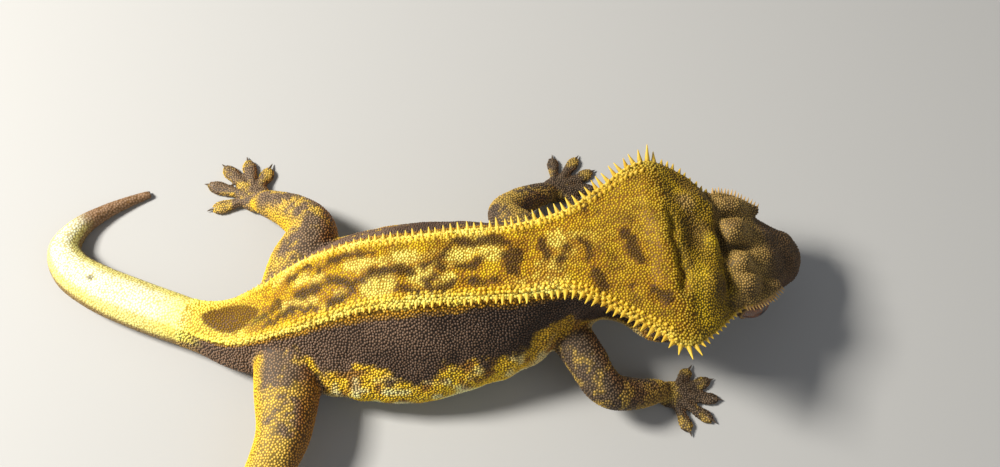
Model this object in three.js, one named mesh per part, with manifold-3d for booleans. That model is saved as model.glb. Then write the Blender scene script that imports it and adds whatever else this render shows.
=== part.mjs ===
// A crested gecko at rest, life size, in millimetres: +X towards the head, +Z up.
// The body is one loft of cross sections along a curved line from tail tip to nose, parted by thin
// cuts into tail, torso, neck and head. Legs, toes, spines and eyes are set on it from named sizes.
import * as THREE from "three";
import { mergeVertices } from "three/addons/utils/BufferGeometryUtils.js";
import Module from "manifold-3d";

const wasm = await Module();
wasm.setup();

// Driving dimensions
const headYaw = 14; // degrees to the animal's left
const headPitch = -20; // degrees, nose down
const headRoll = 6; // degrees, left side up
const crestSpan = 30.2; // across the two rear corners of the head
const bellySpan = 30; // the trunk at its widest
const bellyLean = 0.9; // the belly lies this far to the right of the crests
const trunkHeight = 21.4; // floor to the middle of the back
const tailWidth = 7.9;
const eyeRadius = 3.2;
const gap = 0.3; // between touching pieces
const spineSpacing = 2.3; // along the crest
const longestSpine = 2.4;
const spineRadius = 0.55;
const spineSeed = 7;

const halfCrest = crestSpan / 2;
const halfBelly = bellySpan / 2;
const up = new THREE.Vector3(0, 0, 1);
const rad = THREE.MathUtils.degToRad;
const clamp = THREE.MathUtils.clamp;
const lerp = THREE.MathUtils.lerp;
const v3 = (x, y, z) => new THREE.Vector3(x, y, z);

// Solids and meshes

function solidOf(geometry) {
  const bare = new THREE.BufferGeometry();
  bare.setAttribute("position", geometry.getAttribute("position"));
  bare.setIndex(geometry.index);
  const merged = mergeVertices(bare, 1e-4);
  const build = (triVerts) =>
    new wasm.Manifold(
      new wasm.Mesh({
        numProp: 3,
        vertProperties: merged.attributes.position.array,
        triVerts,
      }),
    );
  const made = build(new Uint32Array(merged.index.array));
  if (made.volume() >= 0) return made;
  return build(new Uint32Array(merged.index.array).reverse());
}

function largestBody(solid) {
  const bodies = solid.decompose();
  return bodies.reduce((best, one) => (one.volume() > best.volume() ? one : best));
}

function geometryOf(solid) {
  const { vertProperties, triVerts, numProp, numVert } = largestBody(solid).getMesh();
  const places = new Float32Array(numVert * 3);
  for (let i = 0; i < numVert; i++) {
    places.set(vertProperties.subarray(i * numProp, i * numProp + 3), i * 3);
  }
  const geometry = new THREE.BufferGeometry();
  geometry.setAttribute("position", new THREE.BufferAttribute(places, 3));
  geometry.setIndex(new THREE.BufferAttribute(new Uint32Array(triVerts), 1));
  return geometry;
}

// A closed body through a row of rings that all have the same number of points.
function loft(rings) {
  const count = rings[0].length;
  const points = rings.flat();
  const index = [];
  const at = (r, i) => r * count + (i % count);
  for (let r = 0; r + 1 < rings.length; r++) {
    for (let i = 0; i < count; i++) {
      index.push(at(r, i), at(r, i + 1), at(r + 1, i + 1));
      index.push(at(r, i), at(r + 1, i + 1), at(r + 1, i));
    }
  }
  for (const [r, turned] of [[0, true], [rings.length - 1, false]]) {
    const middle = v3(0, 0, 0);
    rings[r].forEach((p) => middle.addScaledVector(p, 1 / count));
    const hub = points.push(middle) - 1;
    for (let i = 0; i < count; i++) {
      if (turned) index.push(hub, at(r, i + 1), at(r, i));
      else index.push(hub, at(r, i), at(r, i + 1));
    }
  }
  const geometry = new THREE.BufferGeometry().setFromPoints(points);
  geometry.setIndex(index);
  return solidOf(geometry);
}

function fuse(solids) {
  return solids.reduce((whole, one) => whole.add(one));
}

function ball(centre, radii, turn = new THREE.Euler(), around = 12, down = 8) {
  const geometry = new THREE.SphereGeometry(1, around, down);
  geometry.scale(...radii);
  const place = new THREE.Matrix4().makeRotationFromEuler(turn).setPosition(centre);
  return solidOf(geometry.applyMatrix4(place));
}

// A tube of oval section: each stop is { p, wide, high } with half widths; across stays level.
function tube(stops, { sides = 10, steps = 3, from = 0, to = stops.length - 1, grow = 0 } = {}) {
  const path = stops.map((s) => s.p);
  const count = Math.max(2, Math.round((to - from) * steps));
  const rings = [];
  for (let i = 0; i <= count; i++) {
    const t = lerp(from, to, i / count);
    const centre = along(path, t);
    const heading = along(path, t + 0.6).sub(along(path, t - 0.6)).normalize();
    const across = up.clone().cross(heading).normalize();
    const above = heading.clone().cross(across);
    if (i === 0) centre.addScaledVector(heading, -grow);
    if (i === count) centre.addScaledVector(heading, grow);
    const wide = along1(stops.map((s) => s.wide), t) + grow;
    const high = along1(stops.map((s) => s.high), t) + grow;
    const ring = [];
    for (let j = 0; j < sides; j++) {
      const a = (2 * Math.PI * (j + 0.5)) / sides;
      const q = centre.clone().addScaledVector(across, wide * Math.cos(a));
      ring.push(q.addScaledVector(above, high * Math.sin(a)));
    }
    rings.push(ring);
  }
  return loft(rings);
}

// Smooth values between keys: a uniform Catmull-Rom curve that runs straight on past its ends.
function along1(keys, t) {
  const last = keys.length - 1;
  if (t <= 0) return keys[0] + t * (keys[1] - keys[0]);
  if (t >= last) return keys[last] + (t - last) * (keys[last] - keys[last - 1]);
  const i = Math.floor(t);
  const f = t - i;
  const b = keys[i];
  const c = keys[i + 1];
  const a = i > 0 ? keys[i - 1] : 2 * b - c;
  const d = i + 2 <= last ? keys[i + 2] : 2 * c - b;
  return b + 0.5 * f * (c - a + f * (2 * a - 5 * b + 4 * c - d + f * (3 * (b - c) + d - a)));
}

function along(points, t) {
  return v3(
    along1(points.map((p) => p.x), t),
    along1(points.map((p) => p.y), t),
    along1(points.map((p) => p.z), t),
  );
}

// The head's own frame: forward along the snout, left and up, from the line between its rear corners
const occiput = v3(23.0, 1.8, 17);
const headAxes = axesOf(headYaw, headPitch, headRoll);

function axesOf(yaw, pitch, roll) {
  const [c, s] = [Math.cos(rad(pitch)), Math.sin(rad(pitch))];
  const forward = v3(c * Math.cos(rad(yaw)), c * Math.sin(rad(yaw)), s);
  const left = v3(-Math.sin(rad(yaw)), Math.cos(rad(yaw)), 0).applyAxisAngle(forward, rad(roll));
  return { forward, left, above: forward.clone().cross(left) };
}

function inHead(u, v, w) {
  return occiput
    .clone()
    .addScaledVector(headAxes.forward, u)
    .addScaledVector(headAxes.left, v)
    .addScaledVector(headAxes.above, w);
}

function headTurn() {
  const { forward, left, above } = headAxes;
  return new THREE.Euler().setFromRotationMatrix(
    new THREE.Matrix4().makeBasis(forward, left, above),
  );
}

// Cross sections. p is the middle of the widest level. Half widths and heights are measured from it:
// the middle of the back, the crest, the hollow below the crest, the widest level, the underside.
function trunk(x, y, z, pitch, top, crest, crestUp, side, sideUp, widest, widestUp, bottom) {
  return { p: v3(x, y, z), pitch, top, crest, crestUp, side, sideUp, widest, widestUp, bottom };
}

function tailRound(x, y, half, high) {
  const z = high * 0.92;
  return trunk(x, y, z, 0, high, half * 0.66, high * 0.72, half * 0.94, high * 0.3, half, -high * 0.2, -high);
}

function headPart(u, ...sizes) {
  const { x, y, z } = inHead(u, 0, 0);
  return trunk(x, y, z, headPitch, ...sizes);
}

const halfTail = tailWidth / 2;
const back = trunkHeight - 6.8; // the back above the trunk's widest level
const stations = [
  tailRound(-60.6, 23.3, halfTail * 0.16, 0.6),
  tailRound(-64.2, 21.6, halfTail * 0.23, 0.9),
  tailRound(-68.2, 19.2, halfTail * 0.32, 1.3),
  tailRound(-71.6, 16.1, halfTail * 0.45, 1.8),
  tailRound(-73.2, 11.8, halfTail * 0.66, 2.5),
  tailRound(-71.0, 7.6, halfTail * 0.84, 3.0),
  tailRound(-66.2, 4.4, halfTail * 0.95, 3.3),
  tailRound(-60.5, 1.8, halfTail, 3.5),
  tailRound(-54.4, -0.6, halfTail, 3.7),
  trunk(-48.2, -2.9, 4.2, 0, 4.2, 2.9, 3.2, 3.6, 1.4, 4.0, -0.8, -4.2),
  trunk(-42.5, -4.0, 4.6, 0, 5.0, 3.8, 4.1, 5.0, 1.8, 5.8, -0.8, -4.6),
  trunk(-36.5, -3.5, 5.2, 0, 7.6, 4.5, 6.7, 6.4, 3.0, 8.2, -0.6, -5.0),
  trunk(-30.0, -2.3, 6.0, 0, 10.6, 5.3, 9.6, 8.6, 4.8, halfBelly * 0.77, -0.6, -6.4),
  trunk(-22.0, -1.0, 6.5, 0, back * 0.92, 5.6, 12.2, 10.5, 6.4, halfBelly * 0.95, -0.8, -7.2),
  trunk(-13.5, -0.5, 6.8, 0, back, 5.6, 13.4, 11.2, 7.2, halfBelly, -0.8, -7.4),
  trunk(-5.0, 0.1, 7.2, 0, back, 5.8, 13.5, 10.7, 7.2, halfBelly * 0.93, -0.6, -7.7),
  trunk(3.0, 0.7, 8.2, 0, back * 0.97, 5.9, 13.2, 9.6, 6.8, halfBelly * 0.79, -0.4, -7.6),
  trunk(10.0, 2.3, 10.0, -2, 12.8, 6.7, 12.0, 8.4, 6.2, halfBelly * 0.63, 0, -6.8),
  trunk(15.0, 2.6, 12.8, -7, 10.6, halfCrest * 0.66, 9.8, 7.9, 4.4, 7.6, -0.6, -6.0),
  trunk(19.3, 2.3, 15.2, -14, 9.0, halfCrest * 0.89, 8.3, 8.8, 3.0, 8.8, -1.8, -6.2),
  trunk(22.9, 1.5, 17.0, headPitch, 7.8, halfCrest, 6.3, 10.8, 2.4, 11.2, -2.4, -6.5),
  headPart(5, 6.9, 13.3, 5.7, 11.4, 1.7, 11.4, -2.6, -6.3),
  headPart(10, 6.6, 10.4, 4.7, 9.9, 1.4, 9.7, -2.4, -5.7),
  headPart(15, 5.8, 8.3, 4.2, 8.0, 1.1, 7.9, -2.0, -5.0),
  headPart(19.6, 4.5, 5.6, 3.1, 6.3, 0.7, 6.2, -1.6, -4.2),
  headPart(24, 3.3, 3.5, 2.3, 4.6, 0.4, 4.6, -1.3, -3.4),
  headPart(26.8, 2.1, 2.0, 1.4, 3.0, 0.1, 3.1, -1.0, -2.6),
  headPart(27.7, 0.9, 0.8, 0.4, 1.5, -0.3, 1.5, -0.8, -1.6),
];
const tailTip = 0;
const tailBase = 9.5;
const neckBack = 16.7;
const headBack = 19.2;
const occiputStation = 20;
const neckTurn = [15, 16, 22.5]; // past the first the sections turn from the trunk's heading to the head's
const noseTip = stations.length - 1;

function stationAt(t) {
  const of = (name) => along1(stations.map((s) => s[name]), t);
  const place = (s) => along(stations.map((one) => one.p), s);
  const [straight, turnFrom, turnTo] = neckTurn;
  const near = Math.min(t, straight);
  const heading = place(near + 0.05).sub(place(near - 0.05));
  const pathYaw = THREE.MathUtils.radToDeg(Math.atan2(heading.y, heading.x));
  const yaw = lerp(pathYaw, headYaw, THREE.MathUtils.smoothstep(t, turnFrom, turnTo));
  const roll = headRoll * THREE.MathUtils.smoothstep(t, straight, occiputStation);
  return {
    t, p: place(t), ...axesOf(yaw, of("pitch"), roll), top: of("top"), bottom: of("bottom"),
    crest: of("crest"), crestUp: of("crestUp"), side: of("side"), sideUp: of("sideUp"),
    widest: of("widest"), widestUp: of("widestUp"),
  };
}

// Half a section, from the middle of the back down to the middle of the belly; the crest is at 2.
const crestPlace = 2;
function halfSection(s, grow) {
  return [
    [0, s.top + grow],
    [s.crest * 0.58, lerp(s.top, s.crestUp, 0.3) + grow],
    [s.crest + grow, s.crestUp + grow * 0.7],
    [s.side + grow, s.sideUp],
    [s.widest + grow, s.widestUp],
    [s.widest * 0.74 + grow * 0.7, lerp(s.widestUp, s.bottom, 0.74) - grow * 0.7],
    [0, s.bottom - grow],
  ];
}

// Swellings on top of the head: along it, to its left, their reach both ways, height
const swellings = [
  [14.6, 7.0, 3.8, 2.3, 1.8], // left brow
  [13.0, -6.4, 3.6, 2.1, 1.8], // right brow
  [12.5, 2.7, 2.2, 1.9, 1.4], // lobes between the brows
  [12.0, -3.0, 2.1, 1.7, 1.4],
  [7.0, 0.6, 2.0, 3.2, 1.1], // ridge behind them
  [5.0, -6.2, 3.3, 3.2, 1.8], // large bulge behind the right eye
  [6.2, 7.2, 3.4, 2.8, 1.2],
  [18.6, 1.8, 2.4, 1.6, 0.7], // between the brow and the snout
  [18.6, -1.8, 2.4, 1.6, 0.7],
  [24.8, 2.4, 1.7, 1.2, 0.5], // at the nostrils
  [24.8, -2.4, 1.7, 1.2, 0.5],
  [10.0, 1.0, 0.8, 4.2, -1.2], // cleft behind the lobes
  [13.0, -0.2, 2.6, 0.8, -0.9], // and between them
  [1.6, -0.5, 1.0, 6.0, -0.9], // crease across the back of the head
];

function relief(u, v) {
  return swellings.reduce((sum, [at, out, long, wide, height]) => {
    const reach = ((u - at) / long) ** 2 + ((v - out) / wide) ** 2;
    return sum + height * Math.exp(-reach);
  }, 0);
}

function sectionPoint(s, j, side, grow = 0) {
  const half = halfSection(s, grow);
  const mirrored = ([q, r]) => [-q, r];
  const keys = [mirrored(half[1]), ...half, mirrored(half[half.length - 2])];
  const q = along1(keys.map((k) => k[0]), j + 1) * side;
  const r = along1(keys.map((k) => k[1]), j + 1);
  const point = s.p.clone().addScaledVector(s.left, q).addScaledVector(s.above, r);
  const lean = THREE.MathUtils.smoothstep(j, 2, 4) * (1 - THREE.MathUtils.smoothstep(s.t, 12, 18));
  point.y -= bellyLean * lean * THREE.MathUtils.smoothstep(s.t, 9, 12);
  const onTop = 1 - THREE.MathUtils.smoothstep(j, 2, 3);
  if (s.t < occiputStation - 1 || !onTop) return point;
  const u = point.clone().sub(occiput).dot(headAxes.forward);
  return point.addScaledVector(s.above, relief(u, q) * onTop);
}

function ringAt(t, fine = 2, grow = 0, shift = 0) {
  const s = stationAt(t);
  s.p.addScaledVector(s.forward, shift);
  const last = 6 * fine;
  const ring = [];
  for (let i = 0; i < last; i++) ring.push(sectionPoint(s, i / fine, 1, grow));
  for (let i = last; i > 0; i--) ring.push(sectionPoint(s, i / fine, -1, grow));
  return ring;
}

// One length of the body between two cuts, which leave half the gap on each side.
function bodyLength(from, to, perStation, { fine = 2, grow = 0 } = {}) {
  const count = Math.round((to - from) * perStation);
  const rings = [];
  for (let i = 0; i <= count; i++) {
    const end = i === 0 ? 1 : i === count ? -1 : 0;
    rings.push(ringAt(lerp(from, to, i / count), fine, grow, end * (gap / 2 - grow)));
  }
  return loft(rings);
}

// Spines

function spine(root, direction, length, radius) {
  const sunk = 0.8;
  const cone = new THREE.ConeGeometry(radius * (1 + sunk / length), length + sunk, 5, 1);
  cone.translate(0, (length - sunk) / 2, 0);
  const turn = new THREE.Quaternion().setFromUnitVectors(v3(0, 1, 0), direction.clone().normalize());
  return solidOf(cone.applyQuaternion(turn).translate(root.x, root.y, root.z));
}

// The same uneven row of numbers from -1 to 1 every time
function unevenness(seed) {
  let state = seed * 7919 + 13;
  return () => {
    state = (state * 48271) % 2147483647;
    return (2 * state) / 2147483647 - 1;
  };
}

const spineLengths = [ // by station: none on the hips, longest on the neck and the rear corners
  [11.3, 0.5], [13, 0.9], [15, 1.4], [17, 1.8], [18.6, 2.0], [19.8, longestSpine],
  [20.4, 1.3], [21.2, 0.8], [23, 0.6],
];

function spineLength(t) {
  const i = clamp(spineLengths.findIndex(([at]) => at > t), 1, spineLengths.length - 1);
  const [[t0, l0], [t1, l1]] = [spineLengths[i - 1], spineLengths[i]];
  return lerp(l0, l1, clamp((t - t0) / (t1 - t0), 0, 1));
}

// Spines along one crest between two stations, a set distance apart, square to the crest.
function crestSpines(from, to, side) {
  const place = (t) => sectionPoint(stationAt(t), crestPlace, side);
  const uneven = unevenness(spineSeed + side);
  const made = [];
  let walked = spineSpacing / 2;
  const step = 0.02;
  for (let t = from; t < to; t += step) {
    const here = place(t);
    const move = place(t + step).sub(here);
    walked += move.length();
    if (walked < spineSpacing) continue;
    walked -= spineSpacing;
    const { above } = stationAt(t);
    const outward = above.clone().cross(move.normalize()).multiplyScalar(side);
    const lean = outward.addScaledVector(above, 0.42 + 0.15 * uneven()).normalize();
    const length = spineLength(t) * (1 + 0.15 * uneven());
    made.push(spine(here, lean, length, spineRadius));
  }
  return made;
}

// Head

const eye = { u: 15.8, v: 7.0, w: 1.0 };
const mouthLine = [ // along the head, height; from the corner of the mouth to the lip at the nose
  [6.5, -0.5], [10, -1.6], [15, -2.1], [19.6, -1.8], [24, -1.4], [26.6, -1.2],
];

function lipPath(sink, lift) {
  const stationOf = (u) => occiputStation + [0, 5, 10, 15, 19.6, 24, 26.8, 27.7].reduce(
    (t, at, i, all) => (i && u > all[i - 1] ? i - 1 + Math.min(1, (u - all[i - 1]) / (at - all[i - 1])) : t), 0);
  const half = mouthLine.map(([u, w]) => {
    const s = stationAt(stationOf(u));
    return [u, s.widest - sink, w + lift];
  });
  const nose = [27.7 - sink, 0, mouthLine.at(-1)[1] + lift];
  const other = half.map(([u, v, w]) => [u, -v, w]).reverse();
  return [...half, nose, ...other].map(([u, v, w]) => inHead(u, v, w));
}

function lip(sink, lift, radius) {
  const stops = lipPath(sink, lift).map((p) => ({ p, wide: radius, high: radius }));
  return tube(stops, { sides: 5, steps: 1 });
}

// The upper lid's edge, from behind the eye to the front, moved inwards
function lidEdge(share, side, inwards) {
  const [u, v] = [eye.u - 4 + 7.6 * share, eye.v + 2.6 - 2.8 * share ** 1.6];
  return inHead(u, (v - inwards) * side, 4.9 - 0.4 * share);
}

// The ledge of the lid over the eye
function lidLedge(side) {
  const wides = [0.7, 1.5, 1.7, 1.5, 0.6];
  const stops = wides.map((wide, i) => ({ p: lidEdge(i / 4, side, wide - 0.2), wide, high: 0.75 }));
  return tube(stops, { sides: 8, steps: 2 });
}

function lashes(side) {
  const uneven = unevenness(spineSeed * 2 + side);
  return Array.from({ length: 6 }, (_, i) => {
    const share = i / 5;
    const lean = v3(0, 0, 0)
      .addScaledVector(headAxes.forward, 0.1 + 0.7 * share)
      .addScaledVector(headAxes.left, side)
      .addScaledVector(headAxes.above, 0.15 + 0.1 * uneven());
    return spine(lidEdge(share, side, 0.2), lean, 1.5 + 0.2 * uneven(), 0.45);
  });
}

function headSolid() {
  const turn = headTurn();
  const cut = [lip(0, 0, 0.34)];
  const raised = [lip(0.3, 0.7, 0.6), lip(0.4, -0.7, 0.6)];
  for (const side of [1, -1]) {
    const at = (u, v, w) => inHead(u, v * side, w);
    raised.push(ball(at(eye.u, eye.v - 0.2, eye.w), [4.2, 2.5, 3.9], turn, 14, 8)); // rim of the eye
    raised.push(lidLedge(side));
    cut.push(ball(at(25.4, 3.1, 1.1), [0.5, 0.9, 0.4], turn, 6, 4)); // nostril
    cut.push(ball(at(2.6, 11.4, -0.4), [0.8, 1.5, 1.7], turn, 8, 6)); // ear
    raised.push(...lashes(side), ...crestSpines(headBack + 0.25, 22.4, side));
  }
  const skull = bodyLength(headBack, noseTip, 3, { fine: 3 });
  let head = fuse([skull, ...raised]);
  for (const one of cut) head = head.subtract(one);
  for (const side of [1, -1]) head = head.subtract(eyeBall(side, gap));
  return head.subtract(bodyLength(neckBack, headBack, 3, { grow: 0.28 }));
}

function eyeBall(side, grow = 0) {
  const r = eyeRadius + grow;
  return ball(inHead(eye.u, eye.v * side, eye.w), [r, r, r], headTurn(), 14, 10);
}

// Legs. Stops run from inside the body to the wrist or ankle; joint is the stop at elbow or knee.

function legStops(points, wides, highs) {
  return points.map(([x, y, z], i) => ({ p: v3(x, y, z), wide: wides[i], high: highs[i] }));
}

const armWide = [3.4, 3.2, 2.9, 2.5, 1.9];
const armHigh = [3.2, 3.0, 2.7, 2.1, 1.4];
const thighWide = [5.4, 5.2, 4.1, 3.2, 2.2];
const thighHigh = [4.4, 4.3, 3.7, 2.7, 1.7];
const legs = {
  front_right: {
    stops: legStops([[9.0, -3.5, 10], [13.0, -9.6, 8.6], [16.4, -14.6, 7.2], [21.0, -14.8, 4.8], [25.4, -13.2, 2.2]], armWide, armHigh),
    heading: -8, size: 0.86, turn: -1,
  },
  front_left: {
    stops: legStops([[9.6, 4.5, 10], [4.6, 11.0, 8.8], [0.9, 15.6, 7.4], [3.6, 19.6, 4.8], [7.8, 22.8, 2.2]], armWide, armHigh),
    heading: 34, size: 0.86, turn: 1,
  },
  hind_right: {
    stops: legStops([[-33.6, -5, 6.2], [-33.2, -14, 6.6], [-33.4, -22.8, 6.8], [-36.6, -29.6, 5.0], [-40.8, -34.8, 2.6]], thighWide, thighHigh),
    heading: -112, size: 1, turn: -1,
  },
  hind_left: {
    stops: legStops([[-34, -1, 6.2], [-32.6, 6.2, 6.8], [-31.0, 12.6, 7.4], [-35.0, 17.4, 5.2], [-40.4, 20.6, 2.6]], thighWide, thighHigh),
    heading: 136, size: 1, turn: 1,
  },
};
const jointStop = 2;
const kneeCut = jointStop + 0.25;

// Toes, first to fifth, turned from the foot's own line, with lengths in millimetres at size 1
const toes = [[-62, 5.4], [-30, 7.0], [-3, 7.9], [25, 8.0], [58, 6.6]];
const toeShape = [ // share of length, half width, half height, height of its middle
  [0, 1.0, 1.0, 1.15], [0.35, 0.8, 0.76, 0.95], [0.58, 1.14, 0.66, 0.62],
  [0.82, 1.3, 0.62, 0.52], [1, 0.6, 0.45, 0.42],
];

function toe(root, angle, length, size) {
  const heading = v3(Math.cos(rad(angle)), Math.sin(rad(angle)), 0);
  const stops = toeShape.map(([share, wide, high, z]) => ({
    p: root.clone().addScaledVector(heading, share * length).setZ(z * size),
    wide: wide * size,
    high: high * size,
  }));
  const end = root.clone().addScaledVector(heading, length * 0.9).setZ(0.75 * size);
  const claw = spine(end, heading.clone().setZ(-0.25), 1.7 * size, 0.34 * size);
  return [tube(stops, { sides: 6, steps: 1 }), claw];
}

function foot({ stops, heading, size, turn }) {
  const wrist = stops.at(-1);
  const line = v3(Math.cos(rad(heading)), Math.sin(rad(heading)), 0);
  const palm = wrist.p.clone().addScaledVector(line, 2.3 * size).setZ(1.1 * size);
  const before = wrist.p.clone().sub(stops.at(-2).p).normalize();
  const ankle = [
    { p: wrist.p.clone().addScaledVector(before, -0.4), wide: wrist.wide, high: wrist.high },
    { p: wrist.p.clone().lerp(palm, 0.55), wide: 1.9 * size, high: 1.3 * size },
    { p: palm, wide: 1.7 * size, high: 1.0 * size },
  ];
  const pieces = [tube(ankle, { steps: 2 }), ball(palm, [2.7 * size, 2.7 * size, 1.3 * size], undefined, 10, 6)];
  for (const [angle, length] of toes) {
    const aim = heading + angle * turn;
    const root = palm.clone().add(v3(Math.cos(rad(aim)), Math.sin(rad(aim)), 0).multiplyScalar(1.1 * size));
    pieces.push(...toe(root, aim, length * size, size));
  }
  return fuse(pieces);
}

// Everything below the floor is cut away, which leaves small flats at one level.
function aboveFloor(solid) {
  const below = new THREE.BoxGeometry(400, 400, 50).translate(0, 0, -25);
  return solid.subtract(solidOf(below));
}

// The model

const colours = {
  back: new THREE.MeshStandardMaterial({ color: 0xb08a24, roughness: 0.62, metalness: 0 }),
  head: new THREE.MeshStandardMaterial({ color: 0x9a7f30, roughness: 0.62, metalness: 0 }),
  tail: new THREE.MeshStandardMaterial({ color: 0xe8d592, roughness: 0.6, metalness: 0 }),
  leg: new THREE.MeshStandardMaterial({ color: 0x75603c, roughness: 0.65, metalness: 0 }),
  eye: new THREE.MeshStandardMaterial({ color: 0x6b4a2c, roughness: 0.08, metalness: 0 }),
};

const model = new THREE.Group();
function addNode(name, solid, material) {
  const mesh = new THREE.Mesh(geometryOf(solid), material);
  mesh.name = name;
  model.add(mesh);
}

const tailCuts = [tailTip, 2.5, 4.5, 6.5, tailBase];
const tailNames = ["tail_tip", "tail_end", "tail_middle", "tail_base"];
tailNames.forEach((name, i) => {
  const length = bodyLength(tailCuts[i], tailCuts[i + 1], 2);
  addNode(name, aboveFloor(length), colours.tail);
});

const bothSides = (from, to) => [1, -1].flatMap((side) => crestSpines(from, to, side));
const torso = fuse([bodyLength(tailBase, neckBack, 2), ...bothSides(11.4, neckBack - 0.1)]);
const neck = fuse([bodyLength(neckBack, headBack, 3), ...bothSides(neckBack + 0.15, headBack - 0.2)]);
addNode("torso", aboveFloor(torso), colours.back);
addNode("neck", neck, colours.back);
addNode("head", headSolid(), colours.head);
addNode("eye_left", eyeBall(1), colours.eye);
addNode("eye_right", eyeBall(-1), colours.eye);

const trunkRoom = bodyLength(tailBase - 1, headBack, 2, { grow: gap });
for (const [name, leg] of Object.entries(legs)) {
  const hind = name.startsWith("hind");
  const [upperName, lowerName, footName] = hind ? ["thigh", "shin", "foot"] : ["upper_arm", "forearm", "hand"];
  const size = { sides: 12, steps: 3 };
  const upper = tube(leg.stops, { ...size, to: kneeCut }).subtract(trunkRoom);
  const upperRoom = tube(leg.stops, { ...size, to: kneeCut, grow: gap }).add(upper);
  const lower = tube(leg.stops, { ...size, from: kneeCut - 0.15 });
  const lowerRoom = tube(leg.stops, { ...size, from: kneeCut - 0.15, grow: gap });
  addNode(`${upperName}_${name}`, aboveFloor(upper), colours.leg);
  addNode(`${lowerName}_${name}`, aboveFloor(lower.subtract(upperRoom).subtract(trunkRoom)), colours.leg);
  addNode(`${footName}_${name}`, aboveFloor(foot(leg).subtract(lowerRoom).subtract(trunkRoom)), colours.leg);
}

// The origin is at the floor, under the middle of the whole animal.
const box = new THREE.Box3().setFromObject(model);
const middle = box.getCenter(v3(0, 0, 0));
model.position.set(-middle.x, -middle.y, -box.min.z);

export default model;
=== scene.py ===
import math
import bpy
import numpy as np
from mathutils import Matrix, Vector, kdtree


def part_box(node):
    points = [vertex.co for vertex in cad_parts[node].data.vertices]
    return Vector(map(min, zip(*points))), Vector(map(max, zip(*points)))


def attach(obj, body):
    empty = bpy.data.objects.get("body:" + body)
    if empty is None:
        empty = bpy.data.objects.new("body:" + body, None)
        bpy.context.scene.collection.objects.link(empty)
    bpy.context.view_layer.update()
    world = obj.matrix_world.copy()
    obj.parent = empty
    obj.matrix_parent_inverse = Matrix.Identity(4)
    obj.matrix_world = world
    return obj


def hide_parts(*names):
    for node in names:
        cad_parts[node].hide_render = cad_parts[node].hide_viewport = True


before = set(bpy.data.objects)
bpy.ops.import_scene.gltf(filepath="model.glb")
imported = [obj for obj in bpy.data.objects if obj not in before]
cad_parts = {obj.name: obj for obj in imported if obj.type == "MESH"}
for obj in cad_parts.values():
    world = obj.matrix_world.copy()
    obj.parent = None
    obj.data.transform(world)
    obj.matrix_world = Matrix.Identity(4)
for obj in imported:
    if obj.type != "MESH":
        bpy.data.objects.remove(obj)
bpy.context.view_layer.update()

mm = 0.001

# Sizes

pose = {"headYaw": 14, "headPitch": -20, "headRoll": 6, "headAt": (23.0, 1.8, 17.0), "bellyLean": 0.9}
size = {"crestSpan": 30.2, "bellySpan": 30.0, "trunkHeight": 21.4, "tailWidth": 7.9}
eye = {"u": 15.8, "v": 7.0, "w": 1.0, "radius": 3.2, "lookAhead": 0.30, "lookUp": 0.12, "lidAngle": 57}
rng = np.random.default_rng(11)


# From 0 to 1 between the two ends, or falling where the first end is the higher
def smooth(x, low, high):
    f = np.clip((np.asarray(x, float) - low) / (high - low), 0, 1)
    return f * f * (3 - 2 * f)


def bell(x, width):
    return np.exp(-((x / width) ** 2))


def unit(v):
    v = np.asarray(v, float)
    return v / np.maximum(np.linalg.norm(v, axis=-1, keepdims=True), 1e-9)


# A smooth step from b to c, next to a and d
def between(a, b, c, d, f):
    return b + 0.5 * f * (c - a + f * (2 * a - 5 * b + 4 * c - d + f * (3 * (b - c) + d - a)))


# A smooth curve through keys, running straight on past its ends
def curve(keys, t):
    keys = np.asarray(keys, float)
    flat = keys.ndim == 1
    keys = keys[:, None] if flat else keys
    t = np.asarray(t, float)
    last = len(keys) - 1
    i = np.clip(np.floor(t).astype(int), 0, last - 1)
    f = np.clip(t - i, 0, 1)[..., None]
    b, c = keys[i], keys[i + 1]
    a = np.where((i > 0)[..., None], keys[np.maximum(i - 1, 0)], 2 * b - c)
    d = np.where((i + 2 <= last)[..., None], keys[np.minimum(i + 2, last)], 2 * c - b)
    value = between(a, b, c, d, f)
    value += np.minimum(t, 0)[..., None] * (keys[1] - keys[0])
    value += np.maximum(t - last, 0)[..., None] * (keys[last] - keys[last - 1])
    return value[..., 0] if flat else value


# Smooth lumps from -1 to 1 of about the given size in millimetres
def lumps(points, across, seed=0):
    q = np.asarray(points, float) / across + 31.7 * seed
    cell = np.floor(q).astype(np.int64)
    f = q - cell
    f = f * f * (3 - 2 * f)
    total = 0
    for dx in (0, 1):
        for dy in (0, 1):
            for dz in (0, 1):
                n = (cell[..., 0] + dx) * 73856093 ^ (cell[..., 1] + dy) * 19349663
                n = n ^ (cell[..., 2] + dz) * 83492791 ^ (seed * 2654435)
                n = (n ^ (n >> 13)) * 1274126177 & 0x7FFFFFFF
                n = (n ^ (n >> 15)) & 0xFFFF
                w = (f[..., 0] if dx else 1 - f[..., 0]) * (f[..., 1] if dy else 1 - f[..., 1])
                total = total + (n / 32767.5 - 1) * w * (f[..., 2] if dz else 1 - f[..., 2])
    return total


# The head's own directions, and places in it: u along the snout, v to the left, w up

def axesOf(yaw, pitch, roll):
    yaw, pitch, roll = np.radians(np.broadcast_arrays(yaw, pitch, roll))
    forward = np.stack([np.cos(pitch) * np.cos(yaw), np.cos(pitch) * np.sin(yaw), np.sin(pitch)], -1)
    level = np.stack([-np.sin(yaw), np.cos(yaw), 0 * yaw], -1)
    left = level * np.cos(roll)[..., None] + np.cross(forward, level) * np.sin(roll)[..., None]
    return forward, left, np.cross(forward, left)


headForward, headLeft, headUp = axesOf(pose["headYaw"], pose["headPitch"], pose["headRoll"])
headAt = np.array(pose["headAt"])


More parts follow.
